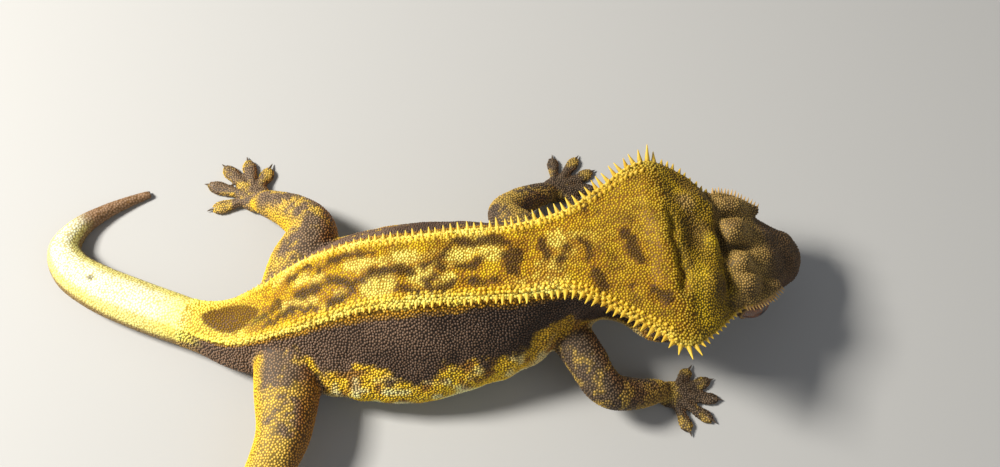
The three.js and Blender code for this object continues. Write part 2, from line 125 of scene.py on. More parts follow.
def inHead(u, v, w):
    u, v, w = np.broadcast_arrays(*(np.asarray(a, float) for a in (u, v, w)))
    return headAt + u[..., None] * headForward + v[..., None] * headLeft + w[..., None] * headUp


def headPlace(points):
    offset = points - headAt
    return offset @ headForward, offset @ headLeft, offset @ headUp


# The frame's place of the model: the CAD eye shows where the origin lies
low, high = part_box("eye_left")
shift = (np.array(low) + np.array(high)) / 2 - inHead(eye["u"], eye["v"], eye["w"]) * mm

# Camera, set where the photograph was taken from

camera = {"at": (0.0, -85.05, 198.2), "tilt": 27.0, "lens": 46.8, "sensor": 36, "nearest": 0.01}


def linked(name, data):
    thing = bpy.data.objects.new(name, data)
    bpy.context.scene.collection.objects.link(thing)
    return thing


cameraData = bpy.data.cameras.new("camera")
cameraData.lens = camera["lens"]
cameraData.sensor_width = camera["sensor"]
cameraData.clip_start = camera["nearest"]
cameraObject = linked("camera", cameraData)
cameraObject.location = np.array(camera["at"]) * mm + shift
cameraObject.rotation_euler = (math.radians(camera["tilt"]), 0, 0)
bpy.context.scene.camera = cameraObject

# Cross sections of the body from tail tip to nose, as in the solids: the middle of the widest level,
# pitch, then heights and half widths of back, crest, side, widest level and underside.

halfCrest, halfBelly, halfTail = size["crestSpan"] / 2, size["bellySpan"] / 2, size["tailWidth"] / 2
back = size["trunkHeight"] - 6.8


def tailRound(x, y, share, high):
    half = halfTail * share
    return (x, y, high * 0.92, 0, high, half * 0.66, high * 0.72, half * 0.94, high * 0.3,
            half, -high * 0.2, -high)


def headPart(u, *sizes):
    return (*inHead(u, 0, 0), pose["headPitch"], *sizes)


sections = np.array([
    tailRound(-60.6, 23.3, 0.16, 0.6),
    tailRound(-64.2, 21.6, 0.23, 0.9),
    tailRound(-68.2, 19.2, 0.32, 1.3),
    tailRound(-71.6, 16.1, 0.45, 1.8),
    tailRound(-73.2, 11.8, 0.66, 2.5),
    tailRound(-71.0, 7.6, 0.84, 3.0),
    tailRound(-66.2, 4.4, 0.95, 3.3),
    tailRound(-60.5, 1.8, 1, 3.5),
    tailRound(-54.4, -0.6, 1, 3.7),
    (-48.2, -2.9, 4.2, 0, 4.2, 2.9, 3.2, 3.6, 1.4, 4.0, -0.8, -4.2),
    (-42.5, -4.0, 4.6, 0, 5.0, 3.8, 4.1, 5.0, 1.8, 5.8, -0.8, -4.6),
    (-36.5, -3.5, 5.2, 0, 7.6, 4.5, 6.7, 6.4, 3.0, 8.2, -0.6, -5.0),
    (-30.0, -2.3, 6.0, 0, 10.6, 5.3, 9.6, 8.6, 4.8, halfBelly * 0.77, -0.6, -6.4),
    (-22.0, -1.0, 6.5, 0, back * 0.92, 5.6, 12.2, 10.5, 6.4, halfBelly * 0.95, -0.8, -7.2),
    (-13.5, -0.5, 6.8, 0, back, 5.6, 13.4, 11.2, 7.2, halfBelly, -0.8, -7.4),
    (-5.0, 0.1, 7.2, 0, back, 5.8, 13.5, 10.7, 7.2, halfBelly * 0.93, -0.6, -7.7),
    (3.0, 0.7, 8.2, 0, back * 0.97, 5.9, 13.2, 9.6, 6.8, halfBelly * 0.79, -0.4, -7.6),
    (10.0, 2.3, 10.0, -2, 12.8, 6.7, 12.0, 8.4, 6.2, halfBelly * 0.63, 0, -6.8),
    (15.0, 2.6, 12.8, -7, 10.6, halfCrest * 0.66, 9.8, 7.9, 4.4, 7.6, -0.6, -6.0),
    (19.3, 2.3, 15.2, -14, 9.0, halfCrest * 0.89, 8.3, 8.8, 3.0, 8.8, -1.8, -6.2),
    (22.9, 1.5, 17.0, pose["headPitch"], 7.8, halfCrest, 6.3, 10.8, 2.4, 11.2, -2.4, -6.5),
    headPart(5, 6.9, 13.3, 5.7, 11.4, 1.7, 11.4, -2.6, -6.3),
    headPart(10, 6.6, 10.4, 4.7, 9.9, 1.4, 9.7, -2.4, -5.7),
    headPart(15, 5.8, 8.3, 4.2, 8.0, 1.1, 7.9, -2.0, -5.0),
    headPart(19.6, 4.5, 5.6, 3.1, 6.3, 0.7, 6.2, -1.6, -4.2),
    headPart(24, 3.3, 3.5, 2.3, 4.6, 0.4, 4.6, -1.3, -3.4),
    headPart(26.8, 2.1, 2.0, 1.4, 3.0, 0.1, 3.1, -1.0, -2.6),
    headPart(27.7, 0.9, 0.8, 0.4, 1.5, -0.3, 1.5, -0.8, -1.6),
])
headStation = 20
noseStation = len(sections) - 1
neckTurn = {"straightTo": 15, "from": 16, "to": 22.5}

# Swellings of the head's top: along it, to the left, reach both ways, height
swellings = [
    (14.6, 7.0, 3.4, 1.8, 2.1),  # left brow
    (12.6, -6.6, 2.4, 2.3, 2.2),  # right brow
    (12.8, 2.8, 2.2, 1.7, 2.0),  # lobes between the brows
    (12.0, -2.9, 1.8, 1.5, 2.0),
    (7.2, 0.7, 1.3, 2.5, 1.5),  # ridge behind them
    (9.6, 5.6, 1.5, 1.5, 0.8),
    (4.3, 1.8, 1.3, 2.6, -0.15),
    (5.2, -6.0, 2.6, 2.8, 2.2),  # large bulge behind the right eye
    (6.4, 7.4, 2.9, 2.3, 1.6),
    (9.2, -9.3, 2.6, 1.0, -0.7),
    (10.2, 8.2, 0.8, 2.0, -0.9),
    (-2.0, 4.5, 2.6, 4.0, 0.35),
    (-3.2, -5.0, 2.6, 3.6, 0.4),
    (18.6, 1.8, 2.4, 1.6, 0.8),  # either side of the snout
    (18.6, -1.8, 2.4, 1.6, 0.8),
    (22.0, 0, 2.2, 1.4, 0.3),
    (24.8, 2.4, 1.7, 1.2, 0.5),
    (24.8, -2.4, 1.7, 1.2, 0.5),
    (9.9, 1.2, 0.8, 3.4, -1.8),  # cleft behind the lobes
    (13.2, -0.2, 2.8, 0.7, -1.5),  # and between them
    (13.0, -4.7, 2.2, 0.55, -1.0),
    (12.8, 5.0, 2.6, 0.6, -1.2),
    (9.0, -5.8, 0.8, 2.6, -1.4),
]


def relief(u, v):
    return sum(height * bell(u - at, long) * bell(v - out, wide) for at, out, long, wide, height in swellings)


# Directions of the section at a station: it turns from the trunk's heading to the head's along the neck
def sectionAxes(t):
    near = np.minimum(t, neckTurn["straightTo"])
    ahead = curve(sections[:, :3], near + 0.05) - curve(sections[:, :3], near - 0.05)
    turned = smooth(t, neckTurn["from"], neckTurn["to"])
    yaw = np.degrees(np.arctan2(ahead[:, 1], ahead[:, 0])) * (1 - turned) + pose["headYaw"] * turned
    roll = pose["headRoll"] * smooth(t, neckTurn["straightTo"], headStation)
    return axesOf(yaw, curve(sections[:, 3], t), roll)


def bodyPoints(t, j, side):
    t, j, side = (np.asarray(a, float).ravel() for a in np.broadcast_arrays(t, j, side))
    s = curve(sections, t)
    place = s[:, :3]
    forward, left, above = sectionAxes(t)
    top, crest, crestUp, flank, flankUp, widest, widestUp, bottom = s[:, 4:].T
    zero = np.zeros_like(top)
    keys = np.array([  # key, width or height, point
        (-crest * 0.58, top * 0.7 + crestUp * 0.3),
        (zero, top),
        (crest * 0.58, top * 0.7 + crestUp * 0.3),
        (crest, crestUp),
        (flank, flankUp),
        (widest, widestUp),
        (widest * 0.74, widestUp * 0.26 + bottom * 0.74),
        (zero, bottom),
        (-widest * 0.74, widestUp * 0.26 + bottom * 0.74),
    ])
    i = np.clip(np.floor(j).astype(int), 0, 5) + 1
    rows = np.arange(len(j))
    q, r = between(*(keys[i + k, :, rows].T for k in (-1, 0, 1, 2)), (j - (i - 1))[None])
    q = q * side
    point = place + q[:, None] * left + r[:, None] * above
    lean = smooth(j, 2, 4) * smooth(t, 18, 12) * smooth(t, 9, 12)
    point[:, 1] -= pose["bellyLean"] * lean
    u = (point - headAt) @ headForward
    onTop = smooth(j, 3, 2) * smooth(t, headStation - 1, headStation - 0.5)
    return point + (relief(u, q) * onTop)[:, None] * above


# Closed shells: rings of points, capped at both ends

class Shell:
    def __init__(self, rings, **facts):
        rings = np.asarray(rings, float)
        count, around = rings.shape[:2]
        self.points = np.concatenate([rings.reshape(-1, 3), rings[:1].mean(1), rings[-1:].mean(1)])
        here = np.arange(count * around).reshape(count, around)
        beside = np.roll(here, -1, axis=1)
        quads = np.stack([here[:-1], beside[:-1], beside[1:], here[1:]], -1).reshape(-1, 4)
        start = np.full(around, count * around)
        startCap = np.stack([start, beside[0], here[0]], -1)
        endCap = np.stack([start + 1, here[-1], beside[-1]], -1)
        self.faces = [*quads.tolist(), *startCap.tolist(), *endCap.tolist()]
        withEnds = lambda fact: np.concatenate([fact.ravel(), [fact[0].mean(), fact[-1].mean()]])
        self.facts = {name: withEnds(fact) for name, fact in facts.items()}


def bodyShell(perStation=14, perPlace=11):
    t = np.linspace(0, noseStation, noseStation * perStation + 1)
    j = np.linspace(0, 6, 6 * perPlace + 1)
    places = np.concatenate([j, j[-2:0:-1]])
    side = np.concatenate([np.ones(len(j)), -np.ones(len(j) - 2)])
    tt, jj = np.meshgrid(t, places, indexing="ij")
    ss = np.broadcast_to(side, tt.shape)
    rings = bodyPoints(tt, jj, ss).reshape(*tt.shape, 3)
    return Shell(rings, t=tt, j=jj, side=ss)


def tubeShell(stops, steps, sides=24, last=None):
    stops = np.array(stops, float)
    last = len(stops) - 1 if last is None else last
    t = np.linspace(0, last, max(2, round(last * steps)) + 1)
    value = curve(stops, t)
    ahead = unit(curve(stops[:, :3], t + 0.6) - curve(stops[:, :3], t - 0.6))
    across = unit(np.cross([0, 0, 1], ahead))
    above = np.cross(ahead, across)
    a = 2 * np.pi * (np.arange(sides) + 0.5) / sides
    wide = value[:, 3, None, None] * np.cos(a)[None, :, None] * across[:, None]
    high = value[:, 4, None, None] * np.sin(a)[None, :, None] * above[:, None]
    return Shell(value[:, None, :3] + wide + high)


def ballShell(centre, radii, axes=None, sides=20, rows=12):
    axes = np.eye(3) if axes is None else np.array(axes)
    a = np.linspace(0.05, np.pi - 0.05, rows)
    b = 2 * np.pi * np.arange(sides) / sides
    x = np.cos(a)[:, None] * np.ones(sides)
    y = np.sin(a)[:, None] * np.cos(b)
    z = np.sin(a)[:, None] * np.sin(b)
    return Shell(np.array(centre) + (np.stack([x, y, z], -1) * np.array(radii)) @ axes)


def ringShell(centre, axis, radius, thick, sides=48):
    axis = unit(axis)
    a = unit(np.cross(axis, [0, 0, 1]))
    b = np.cross(axis, a)
    turn = np.linspace(0, 2 * np.pi, sides + 1)
    spoke = np.cos(turn)[:, None] * a + np.sin(turn)[:, None] * b
    roll = 2 * np.pi * np.arange(10) / 10
    rings = centre + spoke[:, None] * (radius + thick * np.cos(roll))[None, :, None]
    return Shell(rings + (thick * np.sin(roll))[None, :, None] * axis)


headAxes = (headForward, headLeft, headUp)


def eyeCentre(side):
    return inHead(eye["u"], eye["v"] * side, eye["w"])


def eyeAxis(side):
    return unit(headLeft * side + headForward * eye["lookAhead"] + headUp * eye["lookUp"])


# The upper lid's edge, from behind the eye to the front, moved inwards
def lidEdge(share, side, inwards):
    u, v = eye["u"] - 4 + 7.6 * share, eye["v"] + 2.6 - 2.8 * share**1.6
    return inHead(u, (v - inwards) * side, 4.9 - 0.4 * share)


lidWidths = np.array([0.7, 1.5, 1.7, 1.5, 0.6])


def lidLedge(side):
    edge = lidEdge(np.linspace(0, 1, 5), side, lidWidths - 0.2)
    return tubeShell(np.column_stack([edge, lidWidths, np.full(5, 0.75)]), 8, sides=16)


# Legs: stops from inside the body to the wrist, each a place, half width and half height

armWidths = [(3.4, 3.2), (3.2, 3.0), (2.9, 2.7), (2.5, 2.1), (1.9, 1.4)]
thighWidths = [(5.4, 4.4), (5.2, 4.3), (4.1, 3.7), (3.2, 2.7), (2.2, 1.7)]
legs = {
    "frontRight": {
        "at": [(9.0, -3.5, 10), (13.0, -9.6, 8.6), (16.4, -14.6, 7.2), (21.0, -14.8, 4.8), (25.4, -13.2, 2.2)],
        "widths": armWidths, "heading": -8, "scale": 0.86, "side": -1},
    "frontLeft": {
        "at": [(9.6, 4.5, 10), (4.6, 11.0, 8.8), (0.9, 15.6, 7.4), (3.6, 19.6, 4.8), (7.8, 22.8, 2.2)],
        "widths": armWidths, "heading": 34, "scale": 0.86, "side": 1},
    "hindRight": {
        "at": [(-33.6, -5, 6.2), (-33.2, -14, 6.6), (-33.4, -22.8, 6.8), (-36.6, -29.6, 5),
               (-40.8, -34.8, 2.6)],
        "widths": thighWidths, "heading": -112, "scale": 1.0, "side": -1},
    "hindLeft": {
        "at": [(-34, -1, 6.2), (-32.6, 6.2, 6.8), (-31.0, 12.6, 7.4), (-35.0, 17.4, 5.2), (-40.4, 20.6, 2.6)],
        "widths": thighWidths, "heading": 136, "scale": 1.0, "side": 1},
}
foot = {"ahead": 2.3, "palmHeight": 1.1, "palm": (2.7, 2.7, 1.3), "toeFrom": 1.1, "clawHeight": 0.75,
        "clawLength": 1.7, "clawRadius": 0.34}
toes = [(-62, 5.4), (-30, 7.0), (-3, 7.9), (25, 8.0), (58, 6.6)]  # angle and length
toeShape = [  # share of length, half width, half height, height of its middle
    (0, 1.0, 1.0, 1.15),
    (0.35, 0.8, 0.76, 0.95),
    (0.58, 1.14, 0.66, 0.62),
    (0.82, 1.3, 0.62, 0.52),
    (1, 0.6, 0.45, 0.42),
]


def headingOf(angle):
    return np.array([math.cos(math.radians(angle)), math.sin(math.radians(angle)), 0.0])


def footShells(leg):
    scale = leg["scale"]
    wrist, before = np.array(leg["at"][-1]), np.array(leg["at"][-2])
    palm = wrist + headingOf(leg["heading"]) * foot["ahead"] * scale
    palm[2] = foot["palmHeight"] * scale
    ankle = [
        (*(wrist - unit(wrist - before) * 0.4), *leg["widths"][-1]),
        (*(wrist * 0.45 + palm * 0.55), 1.9 * scale, 1.3 * scale),
        (*palm, 1.7 * scale, scale),
    ]
    shells = [tubeShell(ankle, 6), ballShell(palm, np.array(foot["palm"]) * scale)]
    claws = []
    for angle, length in toes:
        aim = headingOf(leg["heading"] + angle * leg["side"])
        root = palm + aim * foot["toeFrom"] * scale
        stops = []
        for share, halfWide, halfHigh, height in toeShape:
            at = root + aim * share * length * scale
            stops.append((at[0], at[1], height * scale, halfWide * scale, halfHigh * scale))
        shells.append(tubeShell(stops, 6, sides=14))
        tip = root + aim * 0.9 * length * scale
        tip[2] = foot["clawHeight"] * scale
        claws.append((tip, aim, foot["clawLength"] * scale, foot["clawRadius"] * scale))
    return shells, claws


# Meshes, and the values kept on them

attributeKinds = {1: ("FLOAT", "value"), 3: ("FLOAT_VECTOR", "vector"), 4: ("FLOAT_COLOR", "color")}


def newMesh(name, points, faces=()):
    mesh = bpy.data.meshes.new(name)
    mesh.from_pydata(np.asarray(points).tolist(), [], [list(f) for f in faces])
    mesh.shade_smooth()
    return mesh


def meshObject(name, points, faces):  # from points in millimetres
    return linked(name, newMesh(name, points * mm + shift, faces))


def joined(shells):
    points, faces = np.zeros((0, 3)), []
    for shell in shells:
        faces += [[i + len(points) for i in face] for face in shell.faces]
        points = np.concatenate([points, shell.points])
    return points, faces


def bakedMesh(thing, name):
    bpy.context.view_layer.update()
    evaluated = thing.evaluated_get(bpy.context.evaluated_depsgraph_get())
    mesh = bpy.data.meshes.new_from_object(evaluated)
    mesh.name = name
    thing.modifiers.clear()
    return mesh


def readAll(items, name, width=1, kind=np.float32):
    flat = np.empty(len(items) * width, dtype=kind)
    items.foreach_get(name, flat)
    return flat.reshape(-1, width).squeeze()


def readAttribute(mesh, name, width=1):
    return readAll(mesh.attributes[name].data, attributeKinds[width][1], width)


def writeAttribute(mesh, name, values):
    values = np.asarray(values, dtype=np.float32)
    kind, field = attributeKinds[values.size // len(values)]
    mesh.attributes.new(name, kind, "POINT").data.foreach_set(field, values.ravel())


def withLast(values, last):
    return np.pad(values, ((0, 0), (0, 1)), constant_values=last)


def nearest(tree, points):
    return np.array([tree.find(p)[1:] for p in points.tolist()])


def treeOf(points):
    tree = kdtree.KDTree(len(points))
    for i, p in enumerate(points.tolist()):
        tree.insert(p, i)
    tree.balance()
    return tree


# Skin: every part of the flesh joined under one surface, then smoothed and shaped

skinShape = {"voxel": 0.36, "rounds": 6, "pull": 0.5, "pushBack": 0.52, "jointRounds": 22, "jointReach": 1.3,
             "lowest": 0.02}
socket = {"radii": (4.2, 2.5, 3.9), "inwards": 0.2, "rim": 0.36, "rimOut": 0.12}

body = bodyShell()
limbShells, eyeShells, clawPlaces = [], [], []
for leg in legs.values():
    stops = [(*at, *widths) for at, widths in zip(leg["at"], leg["widths"])]
    feet, claws = footShells(leg)
    limbShells += [tubeShell(stops, 14, sides=32, last=3.95), *feet]
    clawPlaces += claws
for side in (1, -1):
    ballAt = inHead(eye["u"], (eye["v"] - socket["inwards"]) * side, eye["w"])
    lidAngle = math.radians(eye["lidAngle"])
    rimAt = eyeCentre(side) + eyeAxis(side) * eye["radius"] * math.cos(lidAngle)
    rimRadius = eye["radius"] * math.sin(lidAngle) + socket["rimOut"]
    eyeShells += [ballShell(ballAt, socket["radii"], headAxes), lidLedge(side)]
    eyeShells.append(ringShell(rimAt, eyeAxis(side), rimRadius, socket["rim"]))

points, faces = joined([body, *limbShells, *eyeShells])
skin = linked("gecko_skin", newMesh("gecko_skin", points, faces))  # in millimetres while it is shaped
remesh = skin.modifiers.new("join", "REMESH")
remesh.mode = "VOXEL"
remesh.voxel_size = skinShape["voxel"]
oldMesh = skin.data
skin.data = bakedMesh(skin, "gecko_skin")
bpy.data.meshes.remove(oldMesh)
skinPoints = readAll(skin.data.vertices, "co", 3).astype(float)
print("skin joined:", len(skinPoints), "points")

edges = readAll(skin.data.edges, "vertices", 2, np.int64)
valence = np.maximum(np.bincount(edges.ravel(), minlength=len(skinPoints)), 1)
bodyTree = treeOf(body.points)
limbTree = treeOf(np.concatenate([shell.points for shell in limbShells]))


def neighbourMean(values):
    total = np.zeros_like(values)
    for axis in range(3):
        for here, there in (edges.T, edges.T[::-1]):
            total[:, axis] += np.bincount(here, values[there, axis], len(values))
    return total / valence[:, None]


def relax(values, rounds, weight=1.0, keepVolume=False):
    for _ in range(rounds):
        values = values + (neighbourMean(values) - values) * (skinShape["pull"] * weight)
        if keepVolume:
            values = values - (neighbourMean(values) - values) * (skinShape["pushBack"] * weight)
    return values


toBody = nearest(bodyTree, skinPoints)
toLimb = nearest(limbTree, skinPoints)
joint = bell(np.maximum(toBody[:, 1], toLimb[:, 1]), skinShape["jointReach"])
skinPoints = relax(skinPoints, skinShape["rounds"], keepVolume=True)
skinPoints = relax(skinPoints, skinShape["jointRounds"], joint[:, None])


def normalsOf(points):
    skin.data.vertices.foreach_set("co", points.ravel())
    skin.data.update()
    return readAll(skin.data.vertex_normals, "vector", 3).astype(float)


# Where each point lies on the animal

bodyIndex = toBody[:, 0].astype(int)
station, level, side = (body.facts[k][bodyIndex] for k in ("t", "j", "side"))
onLimb = smooth(toBody[:, 1] - toLimb[:, 1], -0.3, 0.9)
u, v, w = headPlace(skinPoints)
onHead = smooth(u, -2.0, 1.5) * (1 - onLimb)

# Fine shaping along the normals: heights and depths in millimetres
shaping = {"skinLumps": 0.14, "fineLumps": 0.07, "folds": 0.22, "mouthDepth": 0.5, "lipHeight": 0.22,
           "creaseDepth": 0.9, "creaseRim": 0.18, "nostrilDepth": 0.75, "nostrilRim": 0.25,
           "earDepth": 1.3, "earRim": 0.3, "socketDepth": 0.6}
mouthLine = [(6.5, -0.5), (10, -1.6), (15, -2.1), (19.6, -1.8), (24, -1.4), (26.6, -1.2)]
headStops = [0, 5, 10, 15, 19.6, 24, 26.8, 27.7]
creasePoints = [(0.2, 8.2), (0.7, 6.4), (1.1, 3.6), (0.4, 1.4), (0.9, -1.2), (0.6, -2.9), (0.8, -4.4),
                (0.2, -6.6)]
farOff = 99.0  # stands for out of reach


def noise(across, seed):
    return lumps(skinPoints, across, seed)


def mouthCurve():
    u, w = np.array(mouthLine).T
    stations = np.interp(u, headStops, np.arange(len(headStops))) + headStation
    half = np.interp(stations, np.arange(noseStation + 1), sections[:, 9])
    points = [*inHead(u, half, w), inHead(27.6, 0, -1.2), *inHead(u, -half, w)[::-1]]
    return curve(np.array(points), np.linspace(0, len(points) - 1, 500))


def awayFrom(line, points, near):
    far = np.full(len(points), farOff)
    far[near] = nearest(treeOf(line), points[near])[:, 1]
    return far


def pit(reach, *at):
    return bell(np.linalg.norm(skinPoints - inHead(*at), axis=1), reach)


normal = normalsOf(skinPoints)
push = shaping["skinLumps"] * noise(3.4, 1) * (1 - 0.5 * onLimb) * smooth(station, 8, 12)
push += shaping["fineLumps"] * noise(1.5, 2) * smooth(station, 9, 12)
flankFold = smooth(level, 2.4, 3.2) * smooth(level, 5.6, 5.0) * (1 - onLimb)
nearShoulder = bell(station - 16.6, 1.3) + 0.8 * bell(station - 12.0, 1.1)
ripple = np.sin(station * 9 + level * 1.3 + 1.5 * noise(5, 3))
push += shaping["folds"] * flankFold * nearShoulder * ripple
mouthFar = awayFrom(mouthCurve(), skinPoints, onHead > 0.2)
push += shaping["lipHeight"] * bell(mouthFar - 0.8, 0.5) - shaping["mouthDepth"] * bell(mouthFar, 0.36)
crease = curve(np.array([(*at, 0) for at in creasePoints]), np.linspace(0, len(creasePoints) - 1, 160))
creaseFar = awayFrom(crease, np.stack([u, v, 0 * u], -1), (w > 3) & (onHead > 0))
creaseHere = smooth(v, 8.0, 3.5) * (0.8 + 0.2 * noise(2, 23))
push -= shaping["creaseDepth"] * bell(creaseFar, 0.75) * creaseHere
push += shaping["creaseRim"] * bell(creaseFar - 1.7, 0.9) * creaseHere
for s in (1, -1):
    push -= shaping["nostrilDepth"] * pit(0.55, 25.5, 3.2 * s, 1.0)
    push += shaping["nostrilRim"] * pit(1.2, 25.2, 3.0 * s, 1.4)
    push -= shaping["earDepth"] * bell(u - 2.6, 0.7) * bell(w + 0.6, 1.3) * (v * s > 8.5)
    push += shaping["earRim"] * bell(u - 1.5, 0.5) * bell(w + 0.6, 1.6) * (v * s > 8.5)
skinPoints = skinPoints + normal * push[:, None]

# Sockets: the skin over each eyeball sinks behind it
eyeFar = np.full(len(skinPoints), farOff)
for s in (1, -1):
    offset = skinPoints - eyeCentre(s)
    far = np.linalg.norm(offset, axis=1)
    angle = np.degrees(np.arccos(np.clip(unit(offset) @ eyeAxis(s), -1, 1)))
    inside = (far < eye["radius"] + 1.2) & (angle < eye["lidAngle"] - 1)
    depth = eye["radius"] - shaping["socketDepth"] + 0.15 * np.maximum(angle - 50, 0)
    skinPoints[inside] = eyeCentre(s) + unit(offset[inside]) * np.minimum(far, depth)[inside, None]
    lidFar = np.where(far < eye["radius"] + 2.2, np.abs(angle - eye["lidAngle"]) / 10, farOff)
    eyeFar = np.minimum(eyeFar, lidFar)
skinPoints[:, 2] = np.maximum(skinPoints[:, 2], skinShape["lowest"])
normal = normalsOf(skinPoints)
print("skin shaped")


# Markings, worked out once for the skin and taken up by the scales that grow on it

def colour(red, green, blue):  # as seen on a screen, 0 to 255, to linear light
    c = np.array([red, green, blue]) / 255
    return np.where(c < 0.04045, c / 12.92, ((c + 0.055) / 1.055) ** 2.4)


# The dark tone is painted shade, laid in the head's clefts, along the mouth and over the front of the flank
tones = {name: colour(*seen) for name, seen in {
    "band": (220, 184, 22), "bandPale": (252, 238, 124), "ochre": (182, 132, 2),
    "brown": (76, 52, 6), "olive": (134, 100, 4), "dark": (38, 26, 18),
    "flank": (78, 58, 42), "flankPale": (122, 97, 76), "belly": (206, 190, 150),
    "lowYellow": (234, 188, 40), "lowPale": (246, 232, 168), "lowBrown": (144, 102, 36),
    "head": (168, 134, 24), "headBrown": (92, 64, 26), "lobe": (178, 144, 84),
    "snout": (100, 74, 50), "lid": (216, 174, 106), "spine": (236, 194, 66),
    "tail": (255, 234, 96), "tailPaleAndLit": (255, 252, 212), "tailSide": (146, 112, 68),
    "tailTip": (152, 118, 86), "leg": (134, 109, 82), "legYellow": (230, 188, 74),
    "legShadedSide": (154, 96, 30),
}.items()}
# Dark strokes of the back: places along the body and across it, 1 at the left crest, then half width
backStrokes = [
    ([(10.7, -0.3), (11.05, -0.25), (11.35, -0.05)], 0.6),
    ([(10.95, -0.65), (11.3, -0.5), (11.65, -0.45), (12.0, -0.55), (12.25, -0.65)], 0.35),
    ([(11.75, 0.55), (12.05, 0.7), (12.3, 0.55), (12.45, 0.5)], 0.45),
    ([(12.5, 0.55), (12.75, 0.6), (13.0, 0.6), (13.3, 0.55)], 0.45),
    ([(11.85, -0.05), (12.1, -0.05), (12.3, -0.1), (12.5, 0.0), (12.7, -0.1), (12.95, -0.25), (13.15, -0.2),
      (13.3, -0.05), (13.6, -0.05), (14.0, -0.1)], 0.6),
    ([(12.95, -0.25), (12.9, -0.45), (12.65, -0.6), (12.45, -0.65)], 0.45),
    ([(13.8, -0.55), (14.0, -0.7), (14.1, -0.75)], 0.45),
    ([(14.25, 0.0), (14.5, 0.15), (14.65, 0.45), (14.8, 0.6)], 0.5),
    ([(14.5, 0.1), (14.55, -0.15), (14.4, -0.35), (14.3, -0.55), (14.45, -0.7), (14.7, -0.6)], 0.5),
    ([(14.8, 0.6), (15.15, 0.5), (15.4, 0.6), (15.7, 0.5), (15.85, 0.3), (15.95, 0.0), (15.85, -0.3)], 0.7),
    ([(14.85, -0.1), (15.05, -0.15), (15.25, 0.05)], 0.5),
    ([(14.9, -0.45), (15.15, -0.55), (15.35, -0.6), (15.5, -0.55)], 0.55),
    ([(15.75, 0.05), (15.9, -0.35)], 0.8),
    ([(16.45, 0.3), (16.5, -0.1)], 0.6),
    ([(16.95, 0.1), (16.75, -0.35)], 0.4),
    ([(17.25, 0.2), (17.5, -0.05), (17.4, -0.25)], 0.4),
    ([(17.45, 0.75), (17.5, 0.7)], 0.5),
    ([(17.85, 0.85), (17.95, 0.8)], 0.4),
    ([(17.55, -0.5), (17.75, -0.7)], 0.8),
    ([(18.55, 0.15), (18.8, -0.15)], 0.95),
    ([(19.15, -0.5), (19.5, -0.55)], 0.9),
    ([(18.45, -0.5), (18.45, -0.55)], 0.3),
]
# Pale patches between them
paleIslands = [
    ([(11.5, -0.3), (11.85, -0.35)], 0.8),
    ([(12.0, -0.4), (12.15, -0.4)], 0.7),
    ([(11.9, 0.35), (12.05, 0.4)], 0.7),
    ([(12.2, 0.15), (12.35, 0.2)], 0.6),
    ([(13.3, -0.5), (13.55, -0.4)], 1.6),
    ([(14.1, -0.25), (14.25, -0.15)], 1.1),
    ([(13.8, 0.3), (14.0, 0.3)], 1.0),
    ([(14.8, 0.25), (15.0, 0.25)], 1.1),
    ([(15.4, 0.2), (15.55, 0.2)], 1.2),
    ([(14.5, -0.45), (14.7, -0.4)], 0.8),
    ([(12.9, 0.3), (13.2, 0.25)], 0.8),
    ([(12.75, -0.45), (12.65, -0.45)], 0.5),
]
# Patches of the head's top: along it, to the left, reach, tone
crownPatches = [
    (3.4, 3.0, 2.6, "headBrown"), (6.6, -6.8, 2.6, "headBrown"), (1.0, 8.8, 2.2, "headBrown"),
    (6.2, 9.6, 2.0, "headBrown"), (7.3, 0.4, 1.8, "band"), (3.6, -4.4, 1.8, "band"),
    (2.6, -9.6, 2.4, "band"), (4.6, 7.0, 1.8, "lobe"), (3.0, 0.2, 1.2, "brown"),
]
# Strokes in millimetres: the yellow line over the hip, and flecks on the flank
hipLine = [([(-31.6, -8.2, 11.0), (-29.2, -11.2, 9.2), (-27.1, -12.9, 7.6), (-23.6, -14.2, 6.2)], 0.5)]
flecks = [
    ([(-25.2, -9.5, 11.6), (-24.6, -9.5, 11.6)], 0.25),
    ([(-15.6, -8.4, 14.2), (-15.2, -8.0, 14.4)], 0.4),
    ([(-8.2, -8.0, 14.6), (-8.0, -7.8, 14.6)], 0.25),
    ([(-12, -12.5, 11.5), (-11.8, -12.5, 11.3)], 0.2),
]
tailSpot = [([(5.84, -0.05), (5.9, 0.0)], 0.3)]


def blend(a, b, f):
    f = np.asarray(f, float)[:, None]
    return a * (1 - f) + b * f


# Tones laid over one another, each with how much it covers. A tone is a name or a set of colours.
def layered(ground, *layers):
    pick = lambda tone: tones[tone] if isinstance(tone, str) else tone
    out = pick(ground) + 0 * skinPoints
    for tone, cover in layers:
        out = blend(out, pick(tone), cover)
    return out


def onBand(t, across):
    place = np.interp(np.abs(across), (0, 0.58, 1), (0, 1, 2))
    return bodyPoints(t, place, np.where(across < 0, -1.0, 1.0))


# How far each skin point lies outside the nearest of a set of strokes
def outside(strokes, onto=None):
    paths, halves = [], []
    for line, half in strokes:
        path = curve(np.array(line), np.linspace(0, len(line) - 1, 25 * len(line)))
        paths.append(path if onto is None else onto(*path.T))
        halves.append(np.full(len(path), half))
    found = nearest(treeOf(np.concatenate(paths)), skinPoints)
    return found[:, 1] - np.concatenate(halves)[found[:, 0].astype(int)]


